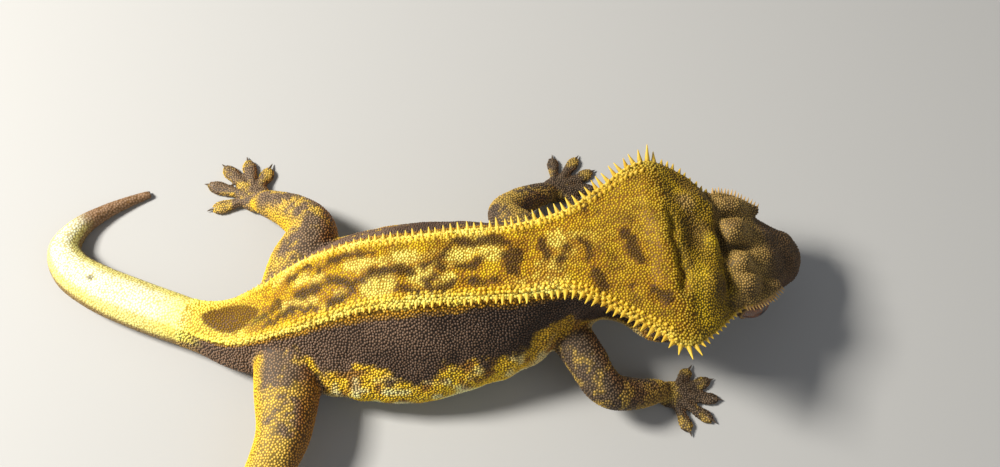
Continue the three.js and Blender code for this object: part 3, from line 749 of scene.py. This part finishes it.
def bandMarkings(wobble, across):
    streak = skinPoints.copy()
    streak[:, 0] *= np.where(station < 14, 0.42, 0.75)  # marks run lengthwise over the hips
    # Browner over the neck: partly its own colour, partly painted shade as the light falls off toward the head
    neckToneAndShade = smooth(station, 16.4, 18.2)
    inner = smooth(across, 0.9, 0.72)
    ragged = 0.3 * noise(1.0, 24) + 0.25 * noise(0.5, 25)
    lobes = smooth(lumps(streak, 3.0, 7) + 0.4 * noise(1.2, 8), -0.1, 0.55)
    net = smooth(np.abs(lumps(streak, 2.4, 9) + 0.4 * noise(0.9, 10)), 0.3, 0.06)
    haze = smooth(lumps(streak, 3.6, 26) + 0.5 * noise(1.3, 27), 0.2, 0.7)
    mottle = smooth(noise(1.5, 37) + 0.5 * noise(0.7, 38), 0.1, 0.6)
    strokeFar = outside(backStrokes, onBand) + 1.9 * ragged
    rim = smooth(across + 0.05 * wobble, 0.78, 0.95) * (1 - 0.5 * neckToneAndShade)
    return layered(
        "band",
        ("bandPale", lobes * (0.75 - 0.6 * neckToneAndShade)),
        ("ochre", net * (0.3 + 0.5 * inner)),
        ("olive", haze * inner * 0.5),
        ("bandPale", smooth(outside(paleIslands, onBand) + ragged, 0.6, -0.1) * 0.75),
        ("head", neckToneAndShade * 0.6),
        ("brown", mottle * inner * (0.12 + 0.25 * neckToneAndShade)),
        ("ochre", smooth(strokeFar, 1.0, 0.1) * 0.6),
        ("brown", smooth(strokeFar, 0.5, -0.35) * 0.88),
        ("bandPale", rim * (0.55 + 0.25 * noise(0.8, 28))),
    )


def flankMarkings(wobble):
    front = smooth(station, 15.2, 17.0)
    stray = smooth(noise(1.7, 12) + 0.3 * noise(0.7, 13), 0.66, 0.84) * (side > 0)
    specks = np.maximum(smooth(outside(flecks) + 0.2 * noise(0.6, 29), 0.4, 0.0), stray)
    upperSide = layered(
        "flank",
        ("flankPale", smooth(noise(5, 11), -0.2, 0.9) * 0.6),
        # Paler toward the rear and darker toward the front: painted light and painted shade, as the light falls
        # off toward the head
        ("flankPale", smooth(station, 14.2, 10.8) * 0.85),
        ("dark", smooth(station, 13.5, 16.5) * 0.45),
        ("lowYellow", specks * 0.8),
    )
    lowSide = layered(
        "lowBrown",
        ("lowYellow", smooth(noise(1.9, 14) + 0.6 * noise(0.8, 15), -0.6, 0.05)),
        ("lowPale", smooth(level + 0.7 * noise(1.6, 30), 3.7, 4.3) * 0.85),
        ("lowBrown", front * 0.6),
    )
    edge = 3.46 + 0.3 * noise(6, 16) + 0.28 * noise(2.2, 17) + 0.1 * noise(0.7, 31)
    edge += 1.2 * smooth(station, 16.6, 17.6) - 0.75 * front
    return layered(
        upperSide,
        (lowSide, smooth(level - edge, -0.1, 0.1) * smooth(station, 11.9, 12.4)),
        ("lowYellow", smooth(outside(hipLine) + 0.3 * noise(1, 32), 0.8, 0.2)),
        ("belly", smooth(level, 5.0, 5.5)),
        ("ochre", smooth(level + 0.05 * wobble, 2.34, 2.2) * 0.85),
    )


def headMarkings():
    mottle = smooth(noise(2.2, 18) + 0.5 * noise(0.9, 19), 0.0, 0.6)
    ragged = 0.7 * noise(1.4, 35)
    patches = []
    for at, across, reach, tone in crownPatches:
        far = np.hypot((u - at) / 0.8, v - across) + ragged
        patches.append((tone, smooth(far, reach * 1.2, reach * 0.4) * 0.6))
    # Painted shade: darker in the clefts between the head's swellings and along the crease
    cleftShade = smooth(-relief(u, v), 0.1, 0.8) * 0.55
    return layered(
        "head",
        ("headBrown", mottle * 0.6),
        ("band", smooth(noise(3.0, 20), 0.1, 0.7) * 0.4),
        *patches,
        (layered("lobe", ("headBrown", mottle * 0.35)), smooth(u, 8.5, 11.0) * 0.75),
        ("snout", smooth(u, 16.5, 20) * 0.85),
        ("dark", np.maximum(cleftShade, bell(creaseFar, 0.55) * creaseHere * 0.6)),
        (layered("snout", ("belly", smooth(-w, 2.4, 4.4) * 0.8)), smooth(level, 2.15, 2.6)),
    )


def tailMarkings(wobble):
    edge = 2.7 + 0.25 * smooth(station, 6, 8)
    return layered(
        "tail",
        # Near white over the tail's top: partly its pale cream, partly painted light
        ("tailPaleAndLit", smooth(station + 0.3 * wobble, 9.3, 7.2)),
        ("tail", smooth(level + 0.15 * wobble, 1.2, 2.2) * 0.7),
        ("tailSide", smooth(level + 0.12 * wobble, edge, edge + 0.6) * 0.9),
        ("tailTip", smooth(station, 3.3, 2.3)),
        ("brown", smooth(outside(tailSpot, onBand) + 0.25 * noise(0.6, 34), 0.5, 0.0) * 0.75),
    )


def legMarkings():
    hindLeg = smooth(skinPoints[:, 0], -22, -26)
    dust = noise(2.4, 21) + 0.5 * noise(1.0, 22) + 0.5 * noise(0.5, 33)
    dust = smooth(dust + hindLeg * smooth(-skinPoints[:, 1], 12, 20), 0.0, 0.6)
    return layered(
        # The front legs at half brightness: painted shade, as the light falls off toward the head
        tones["leg"] * (0.5 + 0.5 * hindLeg)[:, None],
        ("legYellow", dust * (0.5 + 0.4 * hindLeg)),
        # Orange-brown on the side facing forward: painted shade on the side turned from the light
        ("legShadedSide", smooth(normal[:, 0], 0.25, 0.7) * (0.35 + 0.5 * hindLeg)),
        ("lowYellow", smooth(-normal[:, 0], 0.5, 0.85) * hindLeg),
        ("belly", smooth(-normal[:, 2], 0.4, 0.9) * 0.6),
    )


def markings():
    wobble = noise(2.6, 5) + 0.5 * noise(1.1, 6)
    across = level / 2
    ovalWidth = 0.52 - 0.2 * smooth(station, 10.1, 10.9)
    oval = ((station - 9.95) / 0.85) ** 2 + (across / ovalWidth) ** 2 + 0.1 * wobble
    return layered(
        bandMarkings(wobble, across),
        (flankMarkings(wobble), smooth(level + 0.05 * wobble, 2.04, 2.12)),
        (headMarkings(), smooth(u, -1.5, 4.0)),
        ("tail", smooth(station, 11.4, 8.8) * (level < 2.1)),
        (tailMarkings(wobble), smooth(station, 9.4, 8.6)),
        ("olive", smooth(oval, 1.1, 0.85)),
        ("lid", bell(eyeFar, 0.3) * (0.45 + 0.2 * noise(1.0, 36))),
        # Painted shade along the mouth's groove
        ("dark", bell(mouthFar, 0.25) * 0.6),
        (legMarkings(), onLimb),
    )


skinColour = np.clip(markings(), 0.002, 1)
print("markings worked out")

# Into the frame, with the map that the finish is kept on
skinPlaces = skinPoints * mm + shift
skin.data.vertices.foreach_set("co", skinPlaces.ravel())
skin.data.update()
skin.data.shade_smooth()
while skin.data.uv_layers:
    skin.data.uv_layers.remove(skin.data.uv_layers[0])
skin.data.uv_layers.new(name="OFBake")
bpy.ops.object.select_all(action="DESELECT")
skin.select_set(True)
bpy.context.view_layer.objects.active = skin
bpy.ops.object.mode_set(mode="EDIT")
bpy.ops.mesh.select_all(action="SELECT")
bpy.ops.uv.smart_project(angle_limit=math.radians(66), island_margin=0.001)
bpy.ops.object.mode_set(mode="OBJECT")
print("skin unwrapped")

paintedGapShade = 0.3  # the skin between the scales is darker: painted shade
bandGapOchreAndShade = (0.42, 0.3, 0.05)  # and deep ochre on the back: partly its own colour, partly painted shade
# A lighter painted shade between the tail's scales
tailPaintedGapShade = (0.62, 0.54, 0.34)
writeAttribute(skin.data, "rootColour", withLast(skinColour, 1))


# Node trees: an input is a plain value, an output, or a node for its first output

def setInputs(tree, made, inputs):
    for key, value in inputs.items():
        if isinstance(value, bpy.types.Node):
            value = value.outputs[0]
        if isinstance(value, bpy.types.NodeSocket):
            tree.links.new(value, made.inputs[key])
        else:
            made.inputs[key].default_value = value


def node(tree, kind, inputs=None, **settings):
    made = tree.nodes.new(kind)
    for key, value in settings.items():
        setattr(made, key, value)
    setInputs(tree, made, inputs or {})
    return made


def ramp(tree, value, *stops):
    made = node(tree, "ShaderNodeValToRGB", {"Fac": value})
    for element, (position, seen) in zip(made.color_ramp.elements, stops):
        element.position = position
        element.color = (*colour(*seen), 1)
    return made


def newMaterial(name):
    material = bpy.data.materials.new(name)
    material.use_nodes = True
    return material, material.node_tree, material.node_tree.nodes["Principled BSDF"]


# Finishes of the skin: roughness, size of the pores in millimetres and their strength
skinFinishes = {"skin": (0.6, 0.16, 0.6), "scale": (0.5, 0.1, 0.2), "spine": (0.45, 0.12, 0.2)}
grainLook = {"scale": 900, "darkest": 0.86, "palest": 1.14, "smoother": 0.08, "rougher": 0.1, "pores": 0.05}


def skinMaterial(name, roughness, poreSize, poreStrength):
    material, tree, shader = newMaterial(name)
    marking = node(tree, "ShaderNodeAttribute", attribute_name="marking")
    place = node(tree, "ShaderNodeTexCoord").outputs["Object"]
    grain = node(tree, "ShaderNodeTexNoise", {"Vector": place, "Scale": grainLook["scale"], "Detail": 3})
    shade = node(tree, "ShaderNodeMapRange", {
        "Value": grain, "To Min": grainLook["darkest"], "To Max": grainLook["palest"]})
    rough = node(tree, "ShaderNodeMapRange", {
        "Value": grain,
        "To Min": roughness - grainLook["smoother"],
        "To Max": roughness + grainLook["rougher"],
    })
    pores = node(tree, "ShaderNodeTexNoise", {"Vector": place, "Scale": 1 / (poreSize * mm)})
    setInputs(tree, shader, {
        "Base Color": node(tree, "ShaderNodeVectorMath", {0: marking, "Scale": shade}, operation="SCALE"),
        "Roughness": rough,
        "Normal": node(tree, "ShaderNodeBump", {
            "Height": pores, "Strength": poreStrength, "Distance": grainLook["pores"] * mm}),
        "Specular IOR Level": 0.3,
        "Subsurface Weight": 0.08,
        "Subsurface Radius": (0.8, 0.4, 0.2),
        "Subsurface Scale": 0.6 * mm,
    })
    return material


skinFinish, scaleFinish, spineFinish = (
    skinMaterial(f"gecko_{name}_finish", *look) for name, look in skinFinishes.items())

# Scales: small domes set on the skin at even distances, region by region

# The domes are darkened at the foot and lightened at the top: painted shade and painted light
scales = {"gap": 0.37, "flankGap": 0.39, "legGap": 0.39, "handGap": 0.31, "bellyGap": 0.46,
          "tailGap": 0.39, "headGap": 0.34, "radius": 0.63, "smallest": 0.86, "largest": 1.12,
          "densest": 6e7, "paintedBaseShade": 0.5, "offLid": 0.38, "offMouth": 0.3}
dome = {"sides": 6, "rings": [(1.0, -0.12), (0.62, 0.62)], "up": 0.84}


# Rings, each with its radius and height, drawn together to a point at the top
def pointed(sides, rings, top):
    a = 2 * np.pi * np.arange(sides) / sides
    points = [(r * math.cos(t), r * math.sin(t), z) for r, z in rings for t in a]
    pairs = [(i, (i + 1) % sides) for i in range(sides)]
    last = (len(rings) - 1) * sides
    faces = [(r + i, r + k, r + sides + k, r + sides + i) for r in range(0, last, sides) for i, k in pairs]
    faces += [(last + i, last + k, last + sides) for i, k in pairs]
    return np.array([*points, (0, 0, top)]), faces


def newTree(name, **sockets):
    tree = bpy.data.node_groups.new(name, "GeometryNodeTree")
    tree.interface.new_socket("Geometry", in_out="OUTPUT", socket_type="NodeSocketGeometry")
    for label, kind in {"Geometry": "Geometry", **sockets, "Shape": "Object", "Finish": "Material"}.items():
        tree.interface.new_socket(label, in_out="INPUT", socket_type="NodeSocket" + kind)
    return tree, node(tree, "NodeGroupInput").outputs


def namedValue(tree, name, kind="FLOAT"):
    return node(tree, "GeometryNodeInputNamedAttribute", {"Name": name}, data_type=kind).outputs["Attribute"]


def storeValue(tree, name, kind, geometry, value):
    inputs = {"Name": name, "Geometry": geometry, "Value": value}
    return node(tree, "GeometryNodeStoreNamedAttribute", inputs, data_type=kind, domain="POINT")


def product(tree, a, b):
    return node(tree, "ShaderNodeMath", {0: a, 1: b}, operation="MULTIPLY")


# The given shape set on every point, as plain mesh
def setOnPoints(tree, given, points, rotation, thick, long):
    shape = node(tree, "GeometryNodeObjectInfo", {"Object": given["Shape"]})
    stretch = node(tree, "ShaderNodeCombineXYZ", {0: thick, 1: thick, 2: long})
    place = node(tree, "GeometryNodeInstanceOnPoints", {
        "Points": points, "Instance": shape.outputs["Geometry"], "Rotation": rotation, "Scale": stretch})
    solid = node(tree, "GeometryNodeRealizeInstances", {"Geometry": place})
    painted = node(tree, "GeometryNodeSetMaterial", {"Geometry": solid, "Material": given["Finish"]})
    node(tree, "NodeGroupOutput", {"Geometry": painted})
    return tree


def scaleTree():
    tree, given = newTree("scales_on_skin", Spacing="Float", Seed="Int", Smallest="Float", Largest="Float",
                          Height="Float")
    scatter = node(tree, "GeometryNodeDistributePointsOnFaces", {
        "Mesh": given["Geometry"], "Distance Min": given["Spacing"], "Seed": given["Seed"],
        "Density Max": scales["densest"], "Density Factor": namedValue(tree, "here"),
    }, distribute_method="POISSON")
    chance = node(tree, "FunctionNodeRandomValue", {
        2: given["Smallest"], 3: given["Largest"], "Seed": given["Seed"]}, data_type="FLOAT").outputs[1]
    points = storeValue(tree, "shade", "FLOAT", scatter, chance)
    root = namedValue(tree, "OFBake", "FLOAT_VECTOR")
    points = storeValue(tree, "rootPlace", "FLOAT_VECTOR", points, root)
    radius = product(tree, product(tree, chance, given["Spacing"]), namedValue(tree, "swell"))
    tall = product(tree, radius, given["Height"])
    return setOnPoints(tree, given, points, scatter.outputs["Rotation"], radius, tall)


def grown(host, tree, values, name):
    modifier = host.modifiers.new("grow", "NODES")
    modifier.node_group = tree
    for item in tree.interface.items_tree:
        if item.in_out == "INPUT" and item.name in values:
            modifier[item.identifier] = values[item.name]
    return bakedMesh(host, name)


def dropAttributes(mesh, *names):
    for name in names:
        if name in mesh.attributes:
            mesh.attributes.remove(mesh.attributes[name])


allPieces = []
patchSize = 0.0015  # on the map, for a scale or spine of radius 1


# Colour each dome or spine from the skin at its root, with painted shade at its foot and painted light at its
# top, and lay its bake patch there
def finishGrown(mesh, shape, name, paintedBaseShade, paintedTipLight):
    k = np.arange(len(mesh.vertices)) % len(shape)
    tips = np.clip(shape[:, 2] / shape[:, 2].max(), 0, 1)
    shade = readAttribute(mesh, "shade")
    shade = 0.55 + 0.45 * shade / shade.mean()
    root = readAttribute(mesh, "rootColour", 4)[:, :3]
    value = root * (paintedBaseShade + (paintedTipLight - paintedBaseShade) * tips[k])[:, None] * shade[:, None]
    place = readAttribute(mesh, "rootPlace", 3)[:, :2] + shape[k, :2] * patchSize
    corners = readAll(mesh.loops, "vertex_index", kind=np.int64)
    for layer in list(mesh.uv_layers):
        mesh.uv_layers.remove(layer)
    dropAttributes(mesh, "shade", "rootColour", "rootPlace", "here", "swell", "lean", "long", "thick", "OFBake")
    writeAttribute(mesh, "marking", withLast(np.clip(value, 0, 1), 1))
    uv = place[corners].astype(np.float32)
    mesh.uv_layers.new(name="OFBake").data.foreach_set("uv", uv.ravel())
    mesh.shade_smooth()
    allPieces.append(linked(name, mesh))


domePoints, domeFaces = pointed(dome["sides"], dome["rings"], dome["up"])
domeObject = bpy.data.objects.new("dome_shape", newMesh("dome_shape", domePoints, domeFaces))
tree = scaleTree()
host = linked("scale_host", skin.data.copy())

offFoot = smooth(skinPoints[:, 2], 0.25, 0.7)
clear = (eyeFar > scales["offLid"]) * offFoot * (1 - bell(mouthFar, scales["offMouth"]))
isHead = (u > 1.2) & (onLimb < 0.5)
isLimb = onLimb >= 0.5
isHand = isLimb & (skinPoints[:, 2] < 2.6)
isTail = (station < 8.6) & ~isLimb
isTrunk = ~isHead & ~isLimb & ~isTail
isBelly = isTrunk & (level > 4.9)
isBand = isTrunk & (level <= 2.15)
isFlank = isTrunk & ~isBelly & ~isBand
bigger = 1 + 0.4 * smooth(level, 1.45, 1.85) * smooth(level, 2.15, 2.0)
regions = [  # name, where, gap, swelling of the domes, their height, painted light on their tips
    ("scales_back", isBand, scales["gap"], bigger, 0.95, 1.2),
    ("scales_flank_left", isFlank & (side > 0), scales["flankGap"], 1, 0.85, 1.5),
    ("scales_flank_right", isFlank & (side < 0), scales["flankGap"], 1, 0.85, 1.5),
    ("scales_belly", isBelly, scales["bellyGap"], 1.1, 0.4, 1.1),
    ("scales_head", isHead, scales["headGap"], 1 - 0.12 * smooth(u, 8, 12), 0.75, 1.2),
    ("scales_tail", isTail, scales["tailGap"], 1.15, 0.3, 1.05),
    ("scales_legs", isLimb & ~isHand, scales["legGap"], 0.92, 0.55, 1.3),
    ("scales_hands", isHand, scales["handGap"], 0.92, 0.5, 1.3),
]
for number, (name, where, gap, swell, height, paintedTipLight) in enumerate(regions):
    dropAttributes(host.data, "here", "swell")
    writeAttribute(host.data, "here", where * clear)
    writeAttribute(host.data, "swell", np.broadcast_to(swell, len(u)))
    mesh = grown(host, tree, {
        "Spacing": gap * mm, "Seed": 3 + number, "Smallest": scales["smallest"] * scales["radius"],
        "Largest": scales["largest"] * scales["radius"], "Height": height, "Shape": domeObject,
        "Finish": scaleFinish}, name)
    finishGrown(mesh, domePoints, name, scales["paintedBaseShade"], paintedTipLight)
    print(name, len(mesh.polygons), "faces")

# Spines: rows along both crests, over the front of the head's crests and above the eyes

# Spines too are darkened at the foot and lightened at the top: painted shade and painted light
spines = {"apart": 1.18, "radius": 0.37, "first": 10.2, "last": 22.6, "jitter": 0.12, "lift": 0.42,
          "stray": 0.15, "sides": 6, "rings": [(1.1, -0.25), (0.9, 0.15), (0.5, 0.55), (0.2, 0.9)],
          "tone": 0.75, "paintedBaseShade": 0.75, "paintedTipLight": 1.15}
spineLengths = [  # station and length
    (10.0, 0.35), (11.3, 0.6), (12.5, 0.8), (14, 1.15), (15.5, 1.5), (17, 1.8), (18.5, 1.9), (19.5, 1.9),
    (19.9, 2.4), (20.2, 2.2), (20.5, 1.0), (21.5, 0.7), (23, 0.5),
]
# Blunt scales beside each row of spines: how far up the back, share of the spine's length
blunt = {"rows": ((1.80, 0.40), (1.55, 0.22)), "apart": 0.95, "radius": 0.40, "first": 10.0, "last": 19.7,
         "jitter": 0.3}
lashes = {"count": 15, "length": 1.35, "radius": 0.26, "lift": 0.15, "stray": 0.06}


def spineTree():
    tree, given = newTree("spines_on_points")
    lean = namedValue(tree, "lean", "FLOAT_VECTOR")
    turn = node(tree, "FunctionNodeAlignRotationToVector", {"Vector": lean}, axis="Z")
    thick, long = namedValue(tree, "thick"), namedValue(tree, "long")
    return setOnPoints(tree, given, given["Geometry"], turn, thick, long)


def rowAlongCrest(side, look, place=2.0):
    onCrest = lambda t: bodyPoints(t, place, side)
    t = np.linspace(look["first"], look["last"], 2400)
    run = np.concatenate([[0], np.cumsum(np.linalg.norm(np.diff(onCrest(t), axis=0), axis=1))])
    at = np.arange(look["apart"] * 0.5, run[-1], look["apart"])
    at = at + rng.uniform(-look["jitter"], look["jitter"], len(at)) * look["apart"]
    when = np.interp(at, run, t)
    ahead = unit(onCrest(when + 0.03) - onCrest(when - 0.03))
    above = sectionAxes(when)[2]
    return when, onCrest(when), np.cross(above, ahead) * side, above, ahead


def spineRows():
    rows = []
    at, long = np.array(spineLengths).T
    for side in (1, -1):
        when, here, outward, above, ahead = rowAlongCrest(side, spines)
        length = np.interp(when, at, long) * rng.uniform(0.82, 1.15, len(when))
        lift = spines["lift"] + spines["stray"] * rng.standard_normal(len(when))
        lean = unit(outward + above * lift[:, None] - ahead * 0.12)
        rows.append((here, lean, length, spines["radius"] * np.clip(0.75 + 0.2 * length, 0.6, 1.15)))
        for place, share in blunt["rows"]:
            when, here, outward, above, ahead = rowAlongCrest(side, blunt, place)
            length = (0.35 + share * np.interp(when, at, long)) * rng.uniform(0.8, 1.2, len(when)) * 0.75
            rows.append((here, unit(outward * 0.35 + above), length, np.full(len(when), blunt["radius"])))
    return rows


def lashRows():
    rows = []
    count = lashes["count"]
    share = np.linspace(0, 1, count)
    for side in (1, -1):
        lift = lashes["lift"] + lashes["stray"] * rng.standard_normal(count)
        lean = unit(headForward * (0.1 + 0.7 * share)[:, None] + headLeft * side + headUp * lift[:, None])
        length = lashes["length"] * (0.75 + 0.25 * np.sin(share * np.pi)) * rng.uniform(0.85, 1.1, count)
        rows.append((lidEdge(share, side, 0.1), lean, length, np.full(count, lashes["radius"])))
    return rows


spinePoints, spineFaces = pointed(spines["sides"], spines["rings"], 1.0)
spineFaces.append(tuple(range(spines["sides"] - 1, -1, -1)))
spineObject = bpy.data.objects.new("spine_shape", newMesh("spine_shape", spinePoints, spineFaces))
spineBuild = spineTree()
skinTree = treeOf(skinPoints)
vertexPlace = np.zeros((len(skinPoints), 2))
cornerVertex = readAll(skin.data.loops, "vertex_index", kind=np.int64)
vertexPlace[cornerVertex] = readAll(skin.data.uv_layers["OFBake"].data, "uv", 2)


def growSpines(name, rows, tone):
    here, lean, long, thick = (np.concatenate(column) for column in zip(*rows))
    found = nearest(skinTree, here)[:, 0].astype(int)
    seeds = meshObject(name + "_seeds", here, ())
    for label, values in {
        "lean": lean,
        "long": long * mm,
        "thick": thick * mm,
        "shade": rng.uniform(0.85, 1.15, len(here)),
        "rootColour": withLast(skinColour[found] * (1 - spines["tone"]) + tone * spines["tone"], 1),
        "rootPlace": withLast(vertexPlace[found], 0),
    }.items():
        writeAttribute(seeds.data, label, values)
    mesh = grown(seeds, spineBuild, {"Shape": spineObject, "Finish": spineFinish}, name)
    bpy.data.objects.remove(seeds)
    finishGrown(mesh, spinePoints, name, spines["paintedBaseShade"], spines["paintedTipLight"])


growSpines("crest_spines", spineRows(), tones["spine"])
growSpines("eyelash_spines", lashRows(), tones["lid"])
print("spines grown")

# Claws

clawShape = {"sides": 8, "rings": 7, "hook": 0.75, "sunk": 0.5, "finest": 0.02}


def clawMaterial():
    material, tree, shader = newMaterial("gecko_claw_finish")
    place = node(tree, "ShaderNodeTexCoord").outputs["Object"]
    grain = node(tree, "ShaderNodeTexNoise", {"Vector": place, "Scale": 1500})
    tone = ramp(tree, grain, (0, (60, 46, 34)), (1, (110, 90, 66)))
    setInputs(tree, shader, {"Base Color": tone, "Roughness": 0.35})
    return material


def clawShell(tip, aim, length, radius):
    up = np.array([0, 0, 1])
    share = np.linspace(0, 1, clawShape["rings"])
    rise = 0.1 * share - clawShape["hook"] * share**2 * tip[2]
    run = share * (length + clawShape["sunk"]) - clawShape["sunk"]
    middle = tip + aim * run[:, None] + up * rise[:, None]
    a = 2 * np.pi * np.arange(clawShape["sides"]) / clawShape["sides"]
    r = (radius * (1 - share) ** 0.7 * 0.95 + clawShape["finest"])[:, None]
    across = unit(np.cross(up, aim))
    rings = middle[:, None] + (r * np.cos(a))[..., None] * across + (r * np.sin(a) * 1.15)[..., None] * up
    rings[..., 2] = np.maximum(rings[..., 2], skinShape["lowest"])
    return Shell(rings)


claws = meshObject("claws", *joined([clawShell(*claw) for claw in clawPlaces]))
claws.data.materials.append(clawMaterial())
allPieces.append(claws)

# Eyes

eyeLook = {"slitWidth": 0.15, "slitReach": 0.72, "slitNotches": 0.06, "edge": 0.02,
           "pupil": (0.004, 0.003, 0.003, 1), "roughness": 0.12, "coat": 0.4, "coatRoughness": 0.03}


def eyeMaterial():
    material, tree, shader = newMaterial("gecko_eye_finish")

    def worked(operation, a, b=0.0):
        return node(tree, "ShaderNodeMath", {0: a, 1: b}, operation=operation)

    look = node(tree, "ShaderNodeAttribute", attribute_name="look").outputs["Vector"]
    split = node(tree, "ShaderNodeSeparateXYZ", {"Vector": look})
    across, up = split.outputs[0], split.outputs[1]
    notches = node(tree, "ShaderNodeTexNoise", {"Vector": look, "Scale": 7})
    slit = worked("SUBTRACT", eyeLook["slitReach"], worked("MULTIPLY", up, up))
    slit = worked("MULTIPLY", slit, eyeLook["slitWidth"])
    slit = worked("ADD", slit, worked("MULTIPLY", worked("SUBTRACT", notches, 0.5), eyeLook["slitNotches"]))
    pupil = node(tree, "ShaderNodeMapRange", {
        "Value": worked("SUBTRACT", worked("ABSOLUTE", across), slit),
        "From Min": -eyeLook["edge"], "From Max": eyeLook["edge"]})
    veins = node(tree, "ShaderNodeTexNoise", {"Vector": look, "Scale": 9, "Detail": 6, "Distortion": 1.2})
    iris = ramp(tree, veins, (0.35, (48, 26, 16)), (0.7, (150, 88, 44)))
    whole = node(tree, "ShaderNodeMix", {"Factor": pupil, "A": eyeLook["pupil"], "B": iris}, data_type="RGBA")
    setInputs(tree, shader, {
        "Base Color": whole.outputs["Result"], "Roughness": eyeLook["roughness"],
        "Coat Weight": eyeLook["coat"], "Coat Roughness": eyeLook["coatRoughness"]})
    return material


eyeFinish = eyeMaterial()


def makeEye(name, side):
    axis = eyeAxis(side)
    across = unit(np.cross(headUp, axis))
    axes = np.array([axis, across, np.cross(axis, across)])
    shell = ballShell((0, 0, 0), (1, 1, 1), axes, sides=48, rows=40)
    thing = meshObject(name, eyeCentre(side) + shell.points * eye["radius"], shell.faces)
    writeAttribute(thing.data, "look", unit(shell.points @ axes[[1, 2, 0]].T))
    thing.data.materials.append(eyeFinish)
    return thing


eyes = {name: makeEye(name + "_ball", side) for name, side in (("eye_left", 1), ("eye_right", -1))}
print("eyes made")

# The skin itself
bpy.data.objects.remove(host)
dropAttributes(skin.data, "rootColour")
# Painted shade: the skin is darkened between the scales that cover it
gaps = np.where(isBand[:, None], bandGapOchreAndShade, np.where(isTail[:, None], tailPaintedGapShade, paintedGapShade))
covered = np.where((clear > 0.5)[:, None], gaps, 0.85)
writeAttribute(skin.data, "marking", withLast(skinColour * covered, 1))
skin.data.materials.clear()
skin.data.materials.append(skinFinish)

# Floor and light

studio = {"floor": (0.46, 0.455, 0.44, 1), "roughness": 0.8, "reach": 1.5,
          "sky": (0.9, 0.93, 1.0, 1), "world": 0.2}
lights = {
    "key": {"at": (-0.30, 0.05, 0.32), "power": 3.456, "across": 0.11, "tint": (1.0, 0.97, 0.91)},
    "fill": {"at": (0.45, -0.45, 0.45), "power": 0.72, "across": 0.6, "tint": (0.9, 0.95, 1.0)},
}

corners = np.array([(-1, -1, 0), (1, -1, 0), (1, 1, 0), (-1, 1, 0)]) * studio["reach"]
floor = linked("floor", newMesh("floor", corners, [(0, 1, 2, 3)]))
floorFinish, floorTree, floorShader = newMaterial("floor_finish")
setInputs(floorTree, floorShader, {"Base Color": studio["floor"], "Roughness": studio["roughness"]})
floor.data.materials.append(floorFinish)
for name, look in lights.items():
    data = bpy.data.lights.new(name, "AREA")
    data.energy = look["power"]
    data.size = look["across"]
    data.color = look["tint"]
    lamp = linked(name, data)
    lamp.location = look["at"]
    lamp.rotation_euler = (-Vector(look["at"])).to_track_quat("-Z", "Y").to_euler()
world = bpy.data.worlds.new("studio")
world.use_nodes = True
sky = world.node_tree.nodes["Background"]
setInputs(world.node_tree, sky, {"Color": studio["sky"], "Strength": studio["world"]})
bpy.context.scene.world = world
bpy.context.scene.view_settings.view_transform = "Standard"

# Ride and replace

flesh = ["torso", "neck", "head", "tail_base", "tail_middle", "tail_end", "tail_tip"]
for place, parts in (("front", ("upper_arm", "forearm", "hand")), ("hind", ("thigh", "shin", "foot"))):
    flesh += [f"{part}_{place}_{side}" for side in ("left", "right") for part in parts]
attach(skin, "root")
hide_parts(*flesh)
for piece in allPieces:
    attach(piece, "root")
for name, ball in eyes.items():
    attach(ball, "root")
    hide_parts(name)

shown = [thing for thing in bpy.context.scene.objects if thing.type == "MESH" and not thing.hide_render]
print("triangles in all:", sum(len(face.vertices) - 2 for thing in shown for face in thing.data.polygons))
